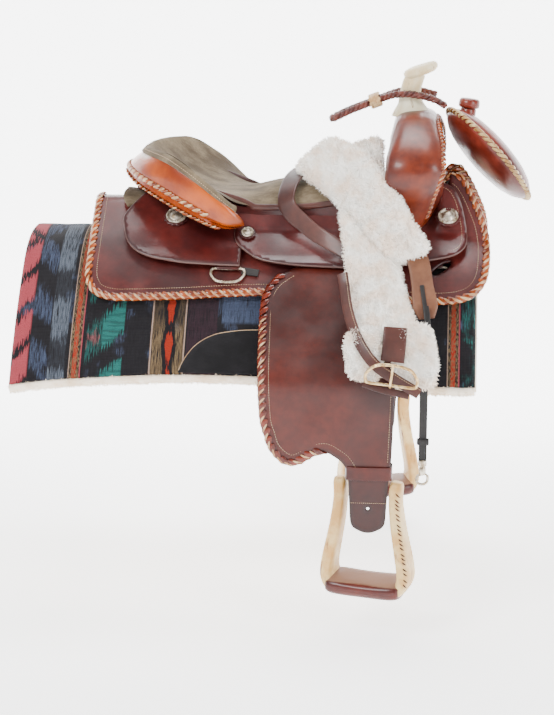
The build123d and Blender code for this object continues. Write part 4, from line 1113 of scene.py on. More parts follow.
def roll_row(w, width, length, phase, stop=0.84):
    """slanted laces across the roll, along one line of it"""
    heap = Heap()
    column = int(round(w * (ROLL_COLUMNS - 1)))
    line = roll_points[:, column]
    s = lengths(line)
    total = s[-1]
    for at in np.arange(total * (1 - stop) / 2 + phase * LACE_STEP, total * (1 + stop) / 2, LACE_STEP):
        i = int(np.clip(np.searchsorted(s, at), 2, STATIONS - 3))
        along = unit(line[i + 1] - line[i - 1])
        across = unit(roll_points[i, min(column + 2, ROLL_COLUMNS - 1)] - roll_points[i, column - 2])
        normal = unit(np.cross(along, across))
        if normal @ outward[i] < 0:
            normal = -normal
        slant = across * 0.55 + along * (1 if at < total / 2 else -1) * 0.8
        across = np.linspace(-1, 1, 7)
        path = np.array([line[i] + slant * k * length + normal * (0.4 + 2.2 * (1 - k * k)) for k in across])
        heap.add(*sweep(path, width * np.array([0.4, 0.8, 1, 1, 1, 0.8, 0.4]), width * 0.55, up=normal))
    return heap.data()


make("cantle_lacing_low", roll_row(0.84, 3.7, 8.5, 0.0), "lacing", ["cantle_lacing"])
# the cream laces on the roll are painted highlights
make("cantle_lacing_low_painted_highlight", roll_row(0.84, 2.6, 8.0, 0.5), "lacing_cream")
make("cantle_lacing_high", roll_row(0.62, 3.0, 7.6, 0.25, 0.78), "lacing_cream")
make("cantle_lacing_high_red", roll_row(0.62, 3.0, 7.6, 0.75, 0.78), "lacing")

# leather apron from the cantle's foot down to the jockeys
JOCKEY_TOP, APRON_FRONT = 51.5, -196
apron_rows = []
for i in range(15, 146):
    f = foot[i]
    top = f - outward[i] * 6
    drops = np.linspace(SPINE, 60, 200)
    ys = saddle_yz(top[0], drops, JOCKEY_TOP)[0]
    drop = np.interp(np.interp(abs(f[1]), [0, 66, 112, 131, 134], [8, 24, 42, 92, 116]), ys, drops)
    y, z = saddle_yz(top[0], np.array(drop), JOCKEY_TOP)
    low = np.array([top[0] + 6, (1 if f[1] >= 0 else -1) * float(y), float(z)])
    if top[2] < low[2] + 4 or f[0] > APRON_FRONT:
        continue
    apron_rows.append(even(np.array([top, low]), count=7))
make("cantle_apron", grid_mesh(np.array(apron_rows)), "plain_burgundy")

# suede seat: one row of points across for each station along its edge
EDGE_LINE = [(-262, 0, 160), (-255, 40, 164), (-240, 76, 166), (-207, 116, 163), (-175, 136, 145),
             (-148, 138, 122), (-124, 126, 100), (-100, 108, 83), (-70, 95, 76), (-30, 88, 75), (20, 86, 77),
             (70, 84, 84), (110, 80, 92), (145, 76, 100)]
MIDDLE = [(-262, 160), (-250, 150), (-236, 139), (-205, 112), (-172, 99), (-140, 94), (-110, 92.5), (-78, 94),
          (-32, 106), (0, 110), (60, 122), (132, 134), (150, 137)]
SEAT_COLUMNS, DISH_POWER, CROWN_POWER = 61, 2.1, 2.8
seat_edge = even(curve(EDGE_LINE, 3), count=110)
mid_line = curve(MIDDLE, 2)
seat_rows = []
for x, half, z_edge in seat_edge:
    z_mid = np.interp(x, mid_line[:, 0], mid_line[:, 1])
    v = np.linspace(-1, 1, SEAT_COLUMNS)
    z = z_mid + (z_edge - z_mid) * np.abs(v) ** (DISH_POWER if z_edge > z_mid else CROWN_POWER)
    uneven = ripple(x + 0 * v, v * half, 0.35, 17)
    seat_rows.append(np.stack([np.full(SEAT_COLUMNS, x), v * half, z + uneven], 1))


def seat_z(x, y):
    """height of the suede at a place on the seat"""
    half, high = (np.interp(x, seat_edge[:, 0], seat_edge[:, k]) for k in (1, 2))
    z_mid = np.interp(x, mid_line[:, 0], mid_line[:, 1])
    power = DISH_POWER if high > z_mid else CROWN_POWER
    return z_mid + (high - z_mid) * min(abs(y) / max(half, 1.0), 1.0) ** power


# the suede's lip, folded over the top of the cantle roll
lip_rows = []
for i in range(6, STATIONS - 6):
    r, f, o = rim[i], foot[i], outward[i] * smooth(min(i, STATIONS - 1 - i), 2, 22)
    q, p = r - o * 26, r - o * 12
    q[2], p[2] = seat_z(q[0], q[1]) - 2.0, seat_z(p[0], p[1]) + 1.0
    knots = np.array([q, p, r + UP * 1.8, r * 0.94 + f * 0.06 + o * 5.5 + UP * 2.2,
                      r * 0.86 + f * 0.14 + o * 9.5 + UP * 1.4, r * 0.84 + f * 0.16 + o * 6.5])
    lip_rows.append(even(curve(knots, 2), count=14))
lip_rows = np.array(lip_rows)
make("seat_lip", grid_mesh(lip_rows), "suede", sharp=80)
make("seat_suede", grid_mesh(np.array(seat_rows)), "suede", ["seat"], sharp=80)

RAIL_START = [(-176, 100, 107), (-160, 104, 104), (-138, 103, 99), (-116, 98, 92), (-92, 94, 84)]
for side_name, side in SIDES.items():
    edge_points = seat_edge * np.array([1, side, 1])
    front = edge_points[edge_points[:, 0] > -126]
    start = np.array(RAIL_START) * [1, side, 1]
    rail = curve(np.vstack([start, front[front[:, 0] > -72] + np.array([0, side * 1.0, -2.0])]), 4)
    grow = np.clip(lengths(rail) / 34, 0.15, 1)
    make(f"seat_rail_{side_name}", sweep(rail, 3.4 * grow, 5.6 * grow, up=UP, sides=12), "strap_leather")
    rows = []
    for p in front[front[:, 0] > -118]:
        y, z = steep_yz(p[0], np.array(-20.0), 52.0)
        rows.append(even(np.array([p - UP * 4, [p[0], side * float(y), float(z)]]), count=6))
    make(f"seat_side_{side_name}", grid_mesh(np.array(rows)), "plain_burgundy")
    trim = lip_rows[:, 11][lip_rows[:, 11, 1] * side > 0] + UP * 1.0
    make(f"cantle_stitching_{side_name}", thread_along(trim, 4.4, 0.6), "thread")

# ------------------------------------------------------------ fork and horn
FORK_PROFILE = [(0, 233), (36, 231), (72, 222), (104, 206), (128, 190), (148, 170), (158, 150), (158, 128),
                (149, 104), (134, 78), (122, 54), (110, 29)]
FORK_INNER = [(0, 140), (20, 138), (40, 128), (56, 112), (66, 96), (73, 80), (78, 64), (80, 48), (82, 32)]
REAR_X = [(16, 171), (60, 157), (120, 150), (180, 152), (233, 163)]
FRONT_X = [(16, 202), (40, 214), (60, 224), (92, 234), (120, 243), (150, 250), (200, 247), (233, 238)]
FORK_BULGE, FRONT_COLUMN = 26, 29


def arch(half_line, step):
    """both halves of an arch that is given as (y, z) points from its crown down"""
    half = even(curve(half_line, step), count=61)
    return np.vstack([half[::-1] * [-1, 1], half[1:]])


profile, inner = arch(FORK_PROFILE, 4), arch(FORK_INNER, 3)
tangent2 = unit(np.gradient(profile, axis=0))
normal2 = np.stack([-tangent2[:, 1], tangent2[:, 0]], 1)
normal2 *= np.where(np.sum(normal2 * (profile - [0, 110]), 1, keepdims=True) < 0, -1, 1)
turn = np.linspace(-math.pi / 2, math.pi / 2, 33)
fork_across = np.sign(np.sin(turn)) * np.abs(np.sin(turn)) ** 0.80
fork_depth = FORK_BULGE * (1 - np.abs(np.cos(turn)) ** 0.85)
fork_rows = []
for yz, inner_yz, n in zip(profile, inner, normal2):
    rear, ahead = read(REAR_X, yz[1]), read(FRONT_X, yz[1])
    middle, half = (rear + ahead) / 2, (ahead - rear) / 2
    row = [(middle + half * k, yz[0] - n[0] * d, yz[1] - n[1] * d) for k, d in zip(fork_across, fork_depth)]
    rim_in = np.array([yz[0] - n[0] * FORK_BULGE, yz[1] - n[1] * FORK_BULGE])
    for x, inwards, ks in ((ahead, -3, (0.5, 1.0)), (rear, 3, (1.0, 0.5))):
        for k in ks:
            p = rim_in * (1 - k) + inner_yz * k
            row.append((x + inwards * k, p[0], p[1]))
    fork_rows.append(row)
fork_rows = np.array(fork_rows)
dimple = np.linalg.norm(fork_rows - [206.0, -156.0, 158.0], axis=-1)
fork_rows[..., 1] += 3.0 * np.exp(-(dimple / 7) ** 2)
make("fork_leather", grid_mesh(fork_rows, close_v=True), "fork_leather",
     ["fork_cover", "tree_fork", "horn_post"], sharp=60)


def edge_laces(line, outward_of, pitch, width, length, phase=0.0):
    """small laces across an edge that is given as points in space"""
    heap = Heap()
    s = lengths(line)
    sweep_at = np.linspace(-1.7, 1.7, 9)
    for at in np.arange(pitch * (0.5 + phase), s[-1] - pitch * 0.4, pitch):
        centre, ahead = (np.array([np.interp(d, s, line[:, i]) for i in range(3)]) for d in (at, at + 1))
        along = unit(ahead - centre)
        out = unit(outward_of(centre))
        across = unit(np.cross(along, out))
        path = np.array([centre + across * math.sin(k) * length + out * (math.cos(k) * width * 1.3 - 0.3)
                         + along * k * length * 0.45 for k in sweep_at])
        ups = np.array([out * math.cos(k) + across * math.sin(k) for k in sweep_at])
        heap.add(*sweep(path, width * np.array([0.5, 0.8, 1, 1, 1, 1, 1, 0.8, 0.5]), width * 0.5, up=ups))
    return heap.data()


def from_fork(p):
    return np.array([1.2, 0.9 * np.sign(p[1]) * min(abs(p[1]) / 60, 1), 0.5 + (p[2] - 120) / 200])


front_edge = fork_rows[5:-5, FRONT_COLUMN]
make("fork_lacing_red", edge_laces(front_edge, from_fork, 9.5, 2.6, 5.0), "lacing", ["fork_lacing"])
# cream strands: painted highlights on the fork's lacing
make("fork_lacing_cream", edge_laces(front_edge, from_fork, 9.5, 1.3, 5.0, 0.5), "lacing_cream")

neck_path = curve([(191, 0, 222), (190, 0, 240), (189, 0, 256), (191, 0, 271), (196, 0, 283), (203, 0, 294)],
                  3)
neck_r = np.interp(lengths(neck_path), [0, 10, 20, 36, 52, 64, 78], [34, 29, 22, 18.0, 17.0, 16.0, 12.0])
verts, faces = sweep(neck_path, neck_r, neck_r * 1.02, up=(0, 1, 0), sides=40)
verts = verts + unit((verts - [191, 0, 0]) * [1, 1, 0]) * lumps(verts, 0.9)
make("horn_neck_rawhide", (verts, faces), "horn_rawhide", ["horn_neck"], sharp=80)
tilt = math.radians(20)
cap_x, cap_z = np.array([math.cos(tilt), 0, math.sin(tilt)]), np.array([-math.sin(tilt), 0, math.cos(tilt)])
CAP_PROFILE = [(0.05, -8), (14, -8.4), (24, -7), (29.2, -3.2), (30.6, 0.5), (29.8, 4.6), (26.5, 7.6),
               (20, 8.9), (10, 9.2), (0.05, 9.3)]
verts, faces = lathe(CAP_PROFILE, (np.array([206.0, 0, 297.5]), cap_x, np.array([0, 1.0, 0]), cap_z), 56)
make("horn_cap_rawhide", (verts + lumps(verts, 0.6) * cap_z, faces), "horn_rawhide",
     ["horn_cap"], sharp=80)

# ------------------------------------------------------------ fenders
FENDER_TOP = -40.0
TAIL_Z, NECK_Z, KNEE_Z, HOLE_Z, TOE_Z = -345, -325, -310, -394, -432
HOBBLE = [(98, 3.6), (112, 6.8), (134, 7.6), (156, 6.8), (171, 3.6), (173, -10), (169, -27), (134, -30),
          (99, -27), (95, -10), (98, 3.6)]
HOBBLE_ROWS = ((TAIL_Z, 0), (-344.5, 1.2), (-339, 1.6), (-334, 1.2), (-328, 1.6), (-322.5, 1.2), (-322, 0))


def hung(x, z, more=0):
    """a point of the fender's outline, from its height"""
    return x, run_at(z) + more


def fender_runs():
    neck = hung(99, NECK_Z, 4)
    rear = [(22, FENDER_TOP), (0, -36), (-18, -24), (-34, -8), (-45, 14), (-49, 50), (-48, 110),
            hung(-46, -190), hung(-45, -214), hung(-42, -250), hung(-36, -264, 6), hung(-28, -290, 4),
            hung(-12, KNEE_Z, 2), hung(6, -320), hung(22, -316), hung(44, -301, 2), hung(62, -299),
            hung(78, -301, 6), hung(90, KNEE_Z, 6), neck]
    tail = [neck, hung(101, TAIL_Z), hung(103, -384), hung(106, -420), hung(117, TOE_Z, -1),
            hung(134, TOE_Z, 4), hung(151, TOE_Z, -1), hung(162, -420), hung(165, -384), hung(168, TAIL_Z),
            hung(171, NECK_Z)]
    ahead = [hung(171, NECK_Z), hung(174, -250), (176, 160), (175, 110), (171, 50), (166, 0),
             (161, FENDER_TOP)]
    return [rear, tail, ahead, [(161, FENDER_TOP), (22, FENDER_TOP)]]


HOLE = circle(134, run_at(HOLE_Z), 3, 13)
TAIL_RUN, FRONT_RUN, CROSS_RUN = run_at(TAIL_Z), run_at(-316), run_at(-384)
for side_name, side in SIDES.items():
    key = body = f"fender_{side_name}"
    place = on(fender_yz, side)
    data, edge, loop = sheet(fender_runs(), place, (0.2, 3.6), step=6, holes=[HOLE], seed=side * 3, rough=0.6)
    make(f"{key}_leather", data, "fender_leather", [key], body, edge=edge)
    line = pick(loop, lambda u, v: u < 60 and v > -14 and not (u > 20 and v < 0))
    make(f"{key}_lacing", whip(line, place, 1.9, 2.4, 15.5, 5.2, 5.6, 2.2, 27.0), "lacing_dark",
         [f"fender_lacing_{side_name}"], body)
    # painted highlights: cream strands on the upper part of the lacing only
    upper = even(line, 4)[:78]
    make(f"{key}_lacing_cream", whip(upper, place, 2.0, 2.7, 15.5, 2.0, 4.2, 2.6, 25.0, 0.5), "lacing_cream",
         body=body)
    seam = pick(inset(loop, 15), lambda u, v: v > -20 and v < TAIL_RUN and u < 150)
    front_seam = pick(inset(loop, 6), lambda u, v: u > 120 and v < FRONT_RUN)
    cross = np.array([(104, CROSS_RUN), (164, CROSS_RUN)], float)
    make(f"{key}_stitching", stitches(seam, place, 3.8), "thread", body=body)
    make(f"{key}_stitching_front", stitches(front_seam, place, 3.8), "thread", body=body)
    make(f"{key}_stitching_tail", stitches(cross, place, 3.8, 3.4, 2.3), "thread", body=body)
    rows = even(curve(HOBBLE, 3), 3)
    hobble = []
    for z, extra in HOBBLE_ROWS:
        run = run_at(z)
        hobble.append([place(u, run, out + extra * (1 if out > -8 else -1)) for u, out in rows])
    make(f"hobble_{side_name}", grid_mesh(np.array(hobble)), "strap_red",
         [f"hobble_strap_{side_name}"], body)

# ------------------------------------------------------------ stirrups
BOLT_Z, STIRRUP_TURN, TREAD_Z = -362.0, math.radians(15), -172
BOLT_Y = float(fender_yz(0, run_at(BOLT_Z), -21)[0])
LEG = [(-50, 11), (-49, 4), (-48, -10), (-48.5, -30), (-53, -66), (-60, -104), (-66, -138), (-66, -158),
       (-58, -172), (-40, -176), (0, -177)]
LEG = LEG + [(-x, z) for x, z in LEG[-2::-1]]
LEG_HALF = [(-200, 10), (-158, 11), (-120, 11.5), (-60, 11), (-20, 10.5), (4, 11), (12, 9)]
LEG_DEPTH = [(-200, 34), (-170, 34), (-150, 31), (-90, 23), (-30, 17), (2, 14), (12, 9)]


def tread_section(origin, ex, ey, x):
    """one section of the leather wrapped tread, squeezed at its ends"""
    tight = math.sqrt(max(1 - (abs(x) / 64.5) ** 6, 0.0))
    section = []
    for a in np.linspace(0, 2 * math.pi, 32, endpoint=False):
        wide, tall = squared(a, 0.6, 0.75)
        dish = 4.0 * (1 - (x / 63) ** 2) if math.sin(a) > 0 else 0
        y = 42 * wide * (0.80 + 0.20 * tight)
        z = TREAD_Z + 17.5 * tall * (0.55 + 0.45 * tight) - dish
        section.append(origin + ex * x + ey * y + UP * z)
    return section


for side_name, side in SIDES.items():
    key = body = f"stirrup_{side_name}"
    turn = side * STIRRUP_TURN
    ex, ey = np.array([math.cos(turn), math.sin(turn), 0]), np.array([-math.sin(turn), math.cos(turn), 0])
    origin = np.array([134.0, side * BOLT_Y, BOLT_Z])
    line = even(curve(LEG, 3), 3.5)
    centre = origin + np.outer(line[:, 0], ex) + np.outer(line[:, 1], UP)
    half, depth = read(LEG_HALF, line[:, 1]), read(LEG_DEPTH, line[:, 1])
    flat = unit(np.gradient(line, axis=0))
    across = np.outer(flat[:, 1], ex) - np.outer(flat[:, 0], UP)
    ring = []
    for a in np.linspace(0, 2 * math.pi, 28, endpoint=False):
        x, y = squared(a, 0.55, 0.65)
        ring.append(centre + across * (half * x)[:, None] + ey * (depth * y)[:, None])
    make(f"{key}_rawhide", capped(np.stack(ring, 1)), "rawhide",
         [f"stirrup_frame_{side_name}", f"stirrup_bolt_{side_name}"], body, sharp=70)
    # lacing down the outer face of the front leg
    heap = Heap()
    for z in np.arange(-8, -160, -8.2):
        i = int(np.argmin(np.abs(line[:, 1] - z) + (np.sign(line[:, 0]) != 1) * 900))
        o = across[i] * np.sign(across[i] @ ex)
        base = centre[i] + ey * side * depth[i] * 0.9 + o * half[i] * 0.62
        path = np.array([base + o * 4.0 * q - UP * 3.0 * q + ey * side * (0.8 + 1.4 * (1 - q * q))
                         for q in (-1, -0.5, 0, 0.5, 1)])
        heap.add(*sweep(path, [0.5, 1.1, 1.3, 1.1, 0.5], sides=6))
    make(f"{key}_lacing", heap.data(), "strap_red", body=body)
    verts, faces = capped(np.array([tread_section(origin, ex, ey, x) for x in np.linspace(-63, 63, 43)]))
    height = (verts - origin) @ UP - TREAD_Z
    make(f"{key}_tread", (verts, faces), "tread", [f"stirrup_tread_{side_name}"], body,
         sharp=60, edge=smooth(height, 6, 12))

# ------------------------------------------------------------ canteen
CAN_R, RIM_LACES = 103.0, 54
CAN_C = np.array([324.0, 0, 155.5])
CAN_Z = unit(np.array([0.724, 0.235, 0.648]))
CAN_X = unit(np.cross([0, 1.0, 0], CAN_Z))
CAN_Y = np.cross(CAN_Z, CAN_X)
CAN_DOME = [(100, 1.2), (99, 4.0), (94, 10), (84, 16.5), (70, 21.5), (52, 25), (30, 27), (12, 27.4),
            (0.05, 27.4)]
STOP_Z = unit(np.array([0.12, 0.04, 0.99]))
STOP_X = unit(np.array([0.99, 0, -0.12]))
STOP = (np.array([288.0, 6, 228]), STOP_X, np.cross(STOP_Z, STOP_X), STOP_Z)
SPOUT = [(13.5, -10), (13.5, 3.2), (12.6, 4.6), (7.8, 4.8), (7.6, -8)]
KNOB = [(0.05, -8), (6.9, -8), (6.9, 5.4), (15.5, 5.6), (17.8, 7.6), (18.2, 12), (17.4, 18.5), (15, 21.2),
        (9, 22), (0.05, 22.1)]


def radial(a):
    return math.cos(a) * CAN_X + math.sin(a) * CAN_Y


def rim_laces(radius, width, reach, rise, lean=0.05):
    """laces wound round the canteen's rim"""
    heap = Heap()
    taper = width * np.array([0.5, 0.8, 1, 1, 1, 1, 1, 1, 1, 0.8, 0.5])
    for a in np.arange(RIM_LACES) * 2 * math.pi / RIM_LACES:
        path, ups = [], []
        for b in np.radians(np.linspace(-125, 125, 11)):
            spoke = radial(a + lean * b)
            out = radius - reach + (reach + 3.0) * math.cos(b)
            path.append(CAN_C + spoke * out + CAN_Z * rise * math.sin(b))
            ups.append(spoke * math.cos(b) + CAN_Z * math.sin(b))
        heap.add(*sweep(np.array(path), taper, width * 0.5, up=np.array(ups)))
    return heap.data()


for sign, name in ((1, "canteen_front"), (-1, "canteen_back")):
    shape = [(0.05, 0.3 * sign)] + [(r, h * sign) for r, h in CAN_DOME]
    make(f"{name}_leather", lathe(shape, (CAN_C, CAN_X, CAN_Y, CAN_Z), 96), "canteen_leather",
         [name], "canteen", sharp=60)
round_the_rim = np.linspace(0, 2 * math.pi, 96, endpoint=False)
rim_line = np.array([CAN_C + (CAN_R - 2) * radial(a) for a in round_the_rim])
make("canteen_rim_core", sweep(rim_line, 3.0, up=CAN_Z, sides=10, closed=True), "canteen_leather",
     ["canteen_seam"], "canteen")
make("canteen_rim_lacing", rim_laces(CAN_R - 1, 2.9, 3.6, 3.6), "canteen_lacing",
     body="canteen")
make("canteen_spout", lathe(SPOUT, STOP, 40), "canteen_leather", body="canteen", sharp=40)
make("canteen_stopper_leather", lathe(KNOB, STOP, 40), "canteen_leather",
     ["canteen_stopper"], "canteen_stopper")

# ------------------------------------------------------------ braided strap and its knot
NEAR = [(249, -25, 240), (232, -28, 251), (197, -29.5, 260), (166, -21, 259), (143, -8.8, 251),
        (84, -11.5, 228.2), (56, -15, 214)]
ROUTE = NEAR + [(x, -y, z + (2 if x > 180 else 0)) for x, y, z in reversed(NEAR[1:])]


def arcs(points, step=2.0):
    """straight runs joined by tangent arcs, with a radius set by the shorter run"""
    points = [np.array(p, float) for p in points]
    line = [points[0]]
    for a, b, c in zip(points, points[1:], points[2:]):
        first, second = unit(b - a), unit(c - b)
        turn = math.acos(np.clip(first @ second, -1, 1))
        tangent_length = 0.45 * min(np.linalg.norm(b - a), np.linalg.norm(c - b))
        radius = tangent_length / math.tan(turn / 2)
        start = b - first * tangent_length
        side = unit(second - first * (first @ second))
        for t in np.linspace(0, turn, max(int(radius * turn / step), 4)):
            line.append(start + first * radius * math.sin(t) + side * radius * (1 - math.cos(t)))
    return even(np.array(line + [points[-1]]), step)


def braid(path, amplitude, radius, period, strands=3):
    """strands crossing over each other along a path"""
    path = even(path, 1.5)
    tangent = unit(np.gradient(path, axis=0))
    side = unit(np.cross(tangent, UP))
    up = np.cross(side, tangent)
    s = lengths(path)
    heap = Heap()
    for k in range(strands):
        phase = 2 * math.pi * (s / period + k / strands)
        swing, rise = amplitude * np.sin(phase), amplitude * 0.8 * np.sin(2 * phase)
        line = path + side * swing[:, None] + up * rise[:, None]
        heap.add(*sweep(line, radius, radius * 0.85))
    return heap.data()


strap_line = arcs(ROUTE)
strap_object = make("horn_strap_braid", braid(strap_line, 3.6, 3.7, 27.0), "braid", ["horn_strap"])
float(lengths(strap_line)[-1] * MM)

KNOT = np.array([129.0, 0, 245.6])
KNOT_X, KNOT_Z = np.array([0, 1.0, 0]), unit(np.array([-31.0, 0, -12.0]))
KNOT_Y = np.cross(KNOT_Z, KNOT_X)
KNOT_WINDS, KNOT_WAVES, KNOT_R = 10, 7, 10.8
knot_heap = Heap()
for k in range(KNOT_WINDS):
    height = (k - 4.5) * 1.75
    wind = []
    for a in np.linspace(0, 2 * math.pi, 40, endpoint=False):
        c, s = math.cos(a), math.sin(a)
        r = KNOT_R + 0.9 * math.sin(KNOT_WAVES * a + k * math.pi)
        wind.append(KNOT + KNOT_X * (9.5 * np.clip(c * 1.4, -1, 1) + r * c) + KNOT_Y * r * s
                    + KNOT_Z * (height + 1.2 * math.sin(KNOT_WAVES * a)))
    knot_heap.add(*sweep(np.array(wind), 1.5, sides=7, closed=True))
make("strap_knot_braid", knot_heap.data(), "knot_leather", ["strap_knot"], "strap_knot")

# ------------------------------------------------------------ breast collar
UPPER = [((19, -16, 156), (31, 10, 26)), ((73, -69, 136), (34, 4, 31)), ((120, -123, 100), (35, -9, 32)),
         ((167, -170, 46), (35, -11, 23)), ((203, -190, 8), (30, -3, 14))]
LOWER = [((108, 8, 168), (35, 0, 14)), ((106, -50, 142), (37, 0, 13)), ((114, -106, 84), (40, 0, 9)),
         ((130, -165, 14), (43, 0, 5)), ((146, -226, -55), (46, 0, 2)), ((164, -282, -94), (48, 0, 2)),
         ((166, -306, -114), (50, 0, 2))]
LOBE_REAR = [((124, -300, -84), (26, 0, 4)), ((125, -318, -122), (28, 0, 3)), ((130, -323, -166), (26, 0, 0))]
LOBE_FRONT = [((202, -302, -76), (28, 0, 2)), ((207, -317, -118), (34, 0, 0)),
              ((209, -321, -178), (31, 0, -3))]
BANDS = (
    ("collar_arm_lower", LOWER, 20, 26000, ["collar_fleece_lower"]),
    ("collar_arm_upper", UPPER, 21, 21000, ["collar_fleece_upper"]),
    ("collar_lobe_rear", LOBE_REAR, 17, 6000, []),
    ("collar_lobe_front", LOBE_FRONT, 17, 8000, []),
)
wool_heap = Heap()
for band in BANDS:
    wool_heap.add(*fleece_band(*band))
make("collar_wool", wool_heap.data(), "fleece", sharp=180)


def flat_strap(name, points, half, thick, up, leather_name, nodes=(), body="saddle", seam=None):
    """a flat strap through the points; seam is how far its stitching lies from the middle"""
    path = even(curve(points, 4), 4)
    make(name, strap(path, respaced(half, len(path)), thick, up), leather_name, nodes, body,
         sharp=60)
    if seam is not None:
        normal, across = strap_axes(path, up)[:2]
        line = path + across * seam + normal * (thick / 2 + 0.15)
        make(f"{name}_stitching", thread_along(line, 4.2, 0.5), "thread", body=body)


TUG_UP = (0.0, -0.72, 0.69)
flat_strap("collar_tug", [(206, -186, 12), (212, -200, -6), (218, -221, -38), (223, -238, -66),
                          (225, -245, -80)], (18, 18, 18, 18, 20, 21, 13), 6, TUG_UP, "tug_leather",
           ["collar_tug_strap"])
flat_strap("collar_tug_slot", [(216, -221, -30), (219, -231, -46), (222, -240, -62)], 3.6, 3.4, TUG_UP,
           "black_leather")
flat_strap("collar_tug_keeper", [(223, -244, -60), (226, -256, -78), (228, -264, -96)], 5.0, 4.6,
           (0.0, -0.8, 0.6), "black_leather")
NECK = [(6, -14, 126), (-8, -44, 118), (-16, -74, 102), (-17, -94, 84), (-8, -104, 68), (10, -112, 53),
        (34, -124, 36), (66, -140, 20), (92, -152, 8)]
NECK_UPS = [(-0.2, -0.5, 0.85), (-0.4, -0.6, 0.7), (-0.5, -0.75, 0.45), (-0.45, -0.85, 0.3),
            (-0.35, -0.85, 0.4), (-0.3, -0.8, 0.5), (-0.3, -0.75, 0.6)]
neck_path = even(curve(NECK, 4), 4)
neck_ups = even(curve(NECK_UPS, 0.02), count=len(neck_path))
make("collar_neck", strap(neck_path, np.linspace(19, 12, len(neck_path)), 3.6, neck_ups), "strap_leather",
     ["collar_neck_strap"], sharp=60)
flat_strap("collar_billet_strap", [(86, -232, -10), (90, -244, -28), (98, -278, -62), (116, -318, -100),
                                   (142, -342, -132), (176, -347, -156), (216, -346, -180)],
           9, 5.5, (-0.35, -0.8, 0.4), "strap_leather", ["collar_billet"], seam=-6.2)
flat_strap("collar_tab", [(176, -312, -80), (175, -322, -96), (174, -328, -112), (172, -332, -132)], 19, 4,
           (0, -0.95, 0.3), "strap_leather")
flat_strap("collar_lower_strap", [(126, -340, -166), (160, -344, -176), (200, -345, -184)], 6, 4,
           (0, -0.97, 0.25), "strap_leather")

BUCKLE = np.array([170.0, -350, -166])
BUCKLE_X, BUCKLE_Z = unit(np.array([-1, 0, 0.12])), unit(np.array([0.1, 0.97, 0.25]))
BUCKLE_Y = np.cross(BUCKLE_Z, BUCKLE_X)
PIN = ((-4, 0), (0, 5.0), (8, 5.2), (20, 5.0), (32, 4.4), (40, 3.6))


def dee_line(half, reach, wire):
    """the outline of a D ring, flat bar first"""
    corners = [(0, 0), (half - wire, 0), (half, wire), (half, reach * 0.45), (half * 0.72, reach * 0.86),
               (half * 0.3, reach), (-half * 0.3, reach), (-half * 0.72, reach * 0.86), (-half, reach * 0.45),
               (-half, wire), (-half + wire, 0)]
    return even(curve(corners + [corners[0]], 2), 2)[:-1]


line = dee_line(41, 36, 5)
buckle_line = BUCKLE + np.outer(line[:, 0], BUCKLE_X) + np.outer(line[:, 1], BUCKLE_Y)
make("collar_buckle_ring", sweep(buckle_line, 2.6, sides=12, closed=True), "brass",
     ["collar_buckle"], "collar_buckle")
tongue = np.array([BUCKLE + BUCKLE_Y * a - BUCKLE_Z * b for a, b in PIN])
make("collar_buckle_pin", sweep(even(curve(tongue, 2), 2), 2.1, 1.7, sides=10), "brass",
     ["collar_buckle_tongue"], "buckle_tongue")

# ------------------------------------------------------------ tie-down strap and snap
TIE = np.array([223.0, -319, -182])
TIE_DROP = 122
KEEPER = [(-8.5, -4), (8.5, -4), (8.8, 0), (8.5, 4), (-8.5, 4), (-8.8, 0), (-8.5, -4)]
END_PROFILE = [(0.05, 5), (6.5, 4.5), (7.2, 0), (6.5, -4.5), (4.0, -5), (4.0, 4)]
SWIVEL_PROFILE = [(3.0, 5), (3.0, -5), (5.4, -7), (5.6, -18), (4.4, -20), (0.05, -20)]
HOOK = ((0, -19), (-6, -21), (-9.2, -27), (-7, -34), (0, -36.5), (7, -33), (9, -26), (8.4, -21))
GATE = ((2, -18.5), (6, -19), (8.6, -22))
snap_top = TIE - UP * TIE_DROP
snap_frame = (snap_top, np.array([1.0, 0, 0]), np.array([0, 1.0, 0]), UP)
hook, gate = (np.array([snap_top + np.array([x, 0, z]) for x, z in points]) for points in (HOOK, GATE))
flat_strap("tie_down_leather", [TIE + UP * 4, TIE - UP * 40, TIE - UP * 80, snap_top], 6.6, 2.8, (0, -1, 0),
           "black_leather", ["tie_down_strap"], "tie_down_strap")
keeper = even(curve(KEEPER, 2), 2)[:-1]
rows = [[TIE + np.array([x, y, -86 + dz]) for x, y in keeper * grow]
        for dz, grow in ((-5, 0.96), (-4, 1.04), (4, 1.04), (5, 0.96))]
make("tie_down_keeper", grid_mesh(np.array(rows), close_v=True), "black_leather",
     body="tie_down_strap")
make("tie_down_end", lathe(END_PROFILE, snap_frame, 24), "nickel", body="tie_down_strap")
hook_wire = sweep(even(curve(hook, 1.5), 1.5), 2.3, sides=10)
make("tie_down_snap_hook", merged(lathe(SWIVEL_PROFILE, snap_frame, 24), hook_wire, sweep(gate, 1.5)),
     "nickel", ["tie_down_snap"], "tie_down_snap")

# ------------------------------------------------------------ dees and their straps
# u, drop, out, half width, reach and wire radius of each ring; then its strap's half width and leather
DEES = {
    "rear": (-112.0, 78.0, 42.3, 28.0, 27.0, 2.4, 19, "strap_red"),
    "front": (236.0, 58.0, 26.9, 22.0, 24.0, 2.25, 14, "strap_leather"),
}


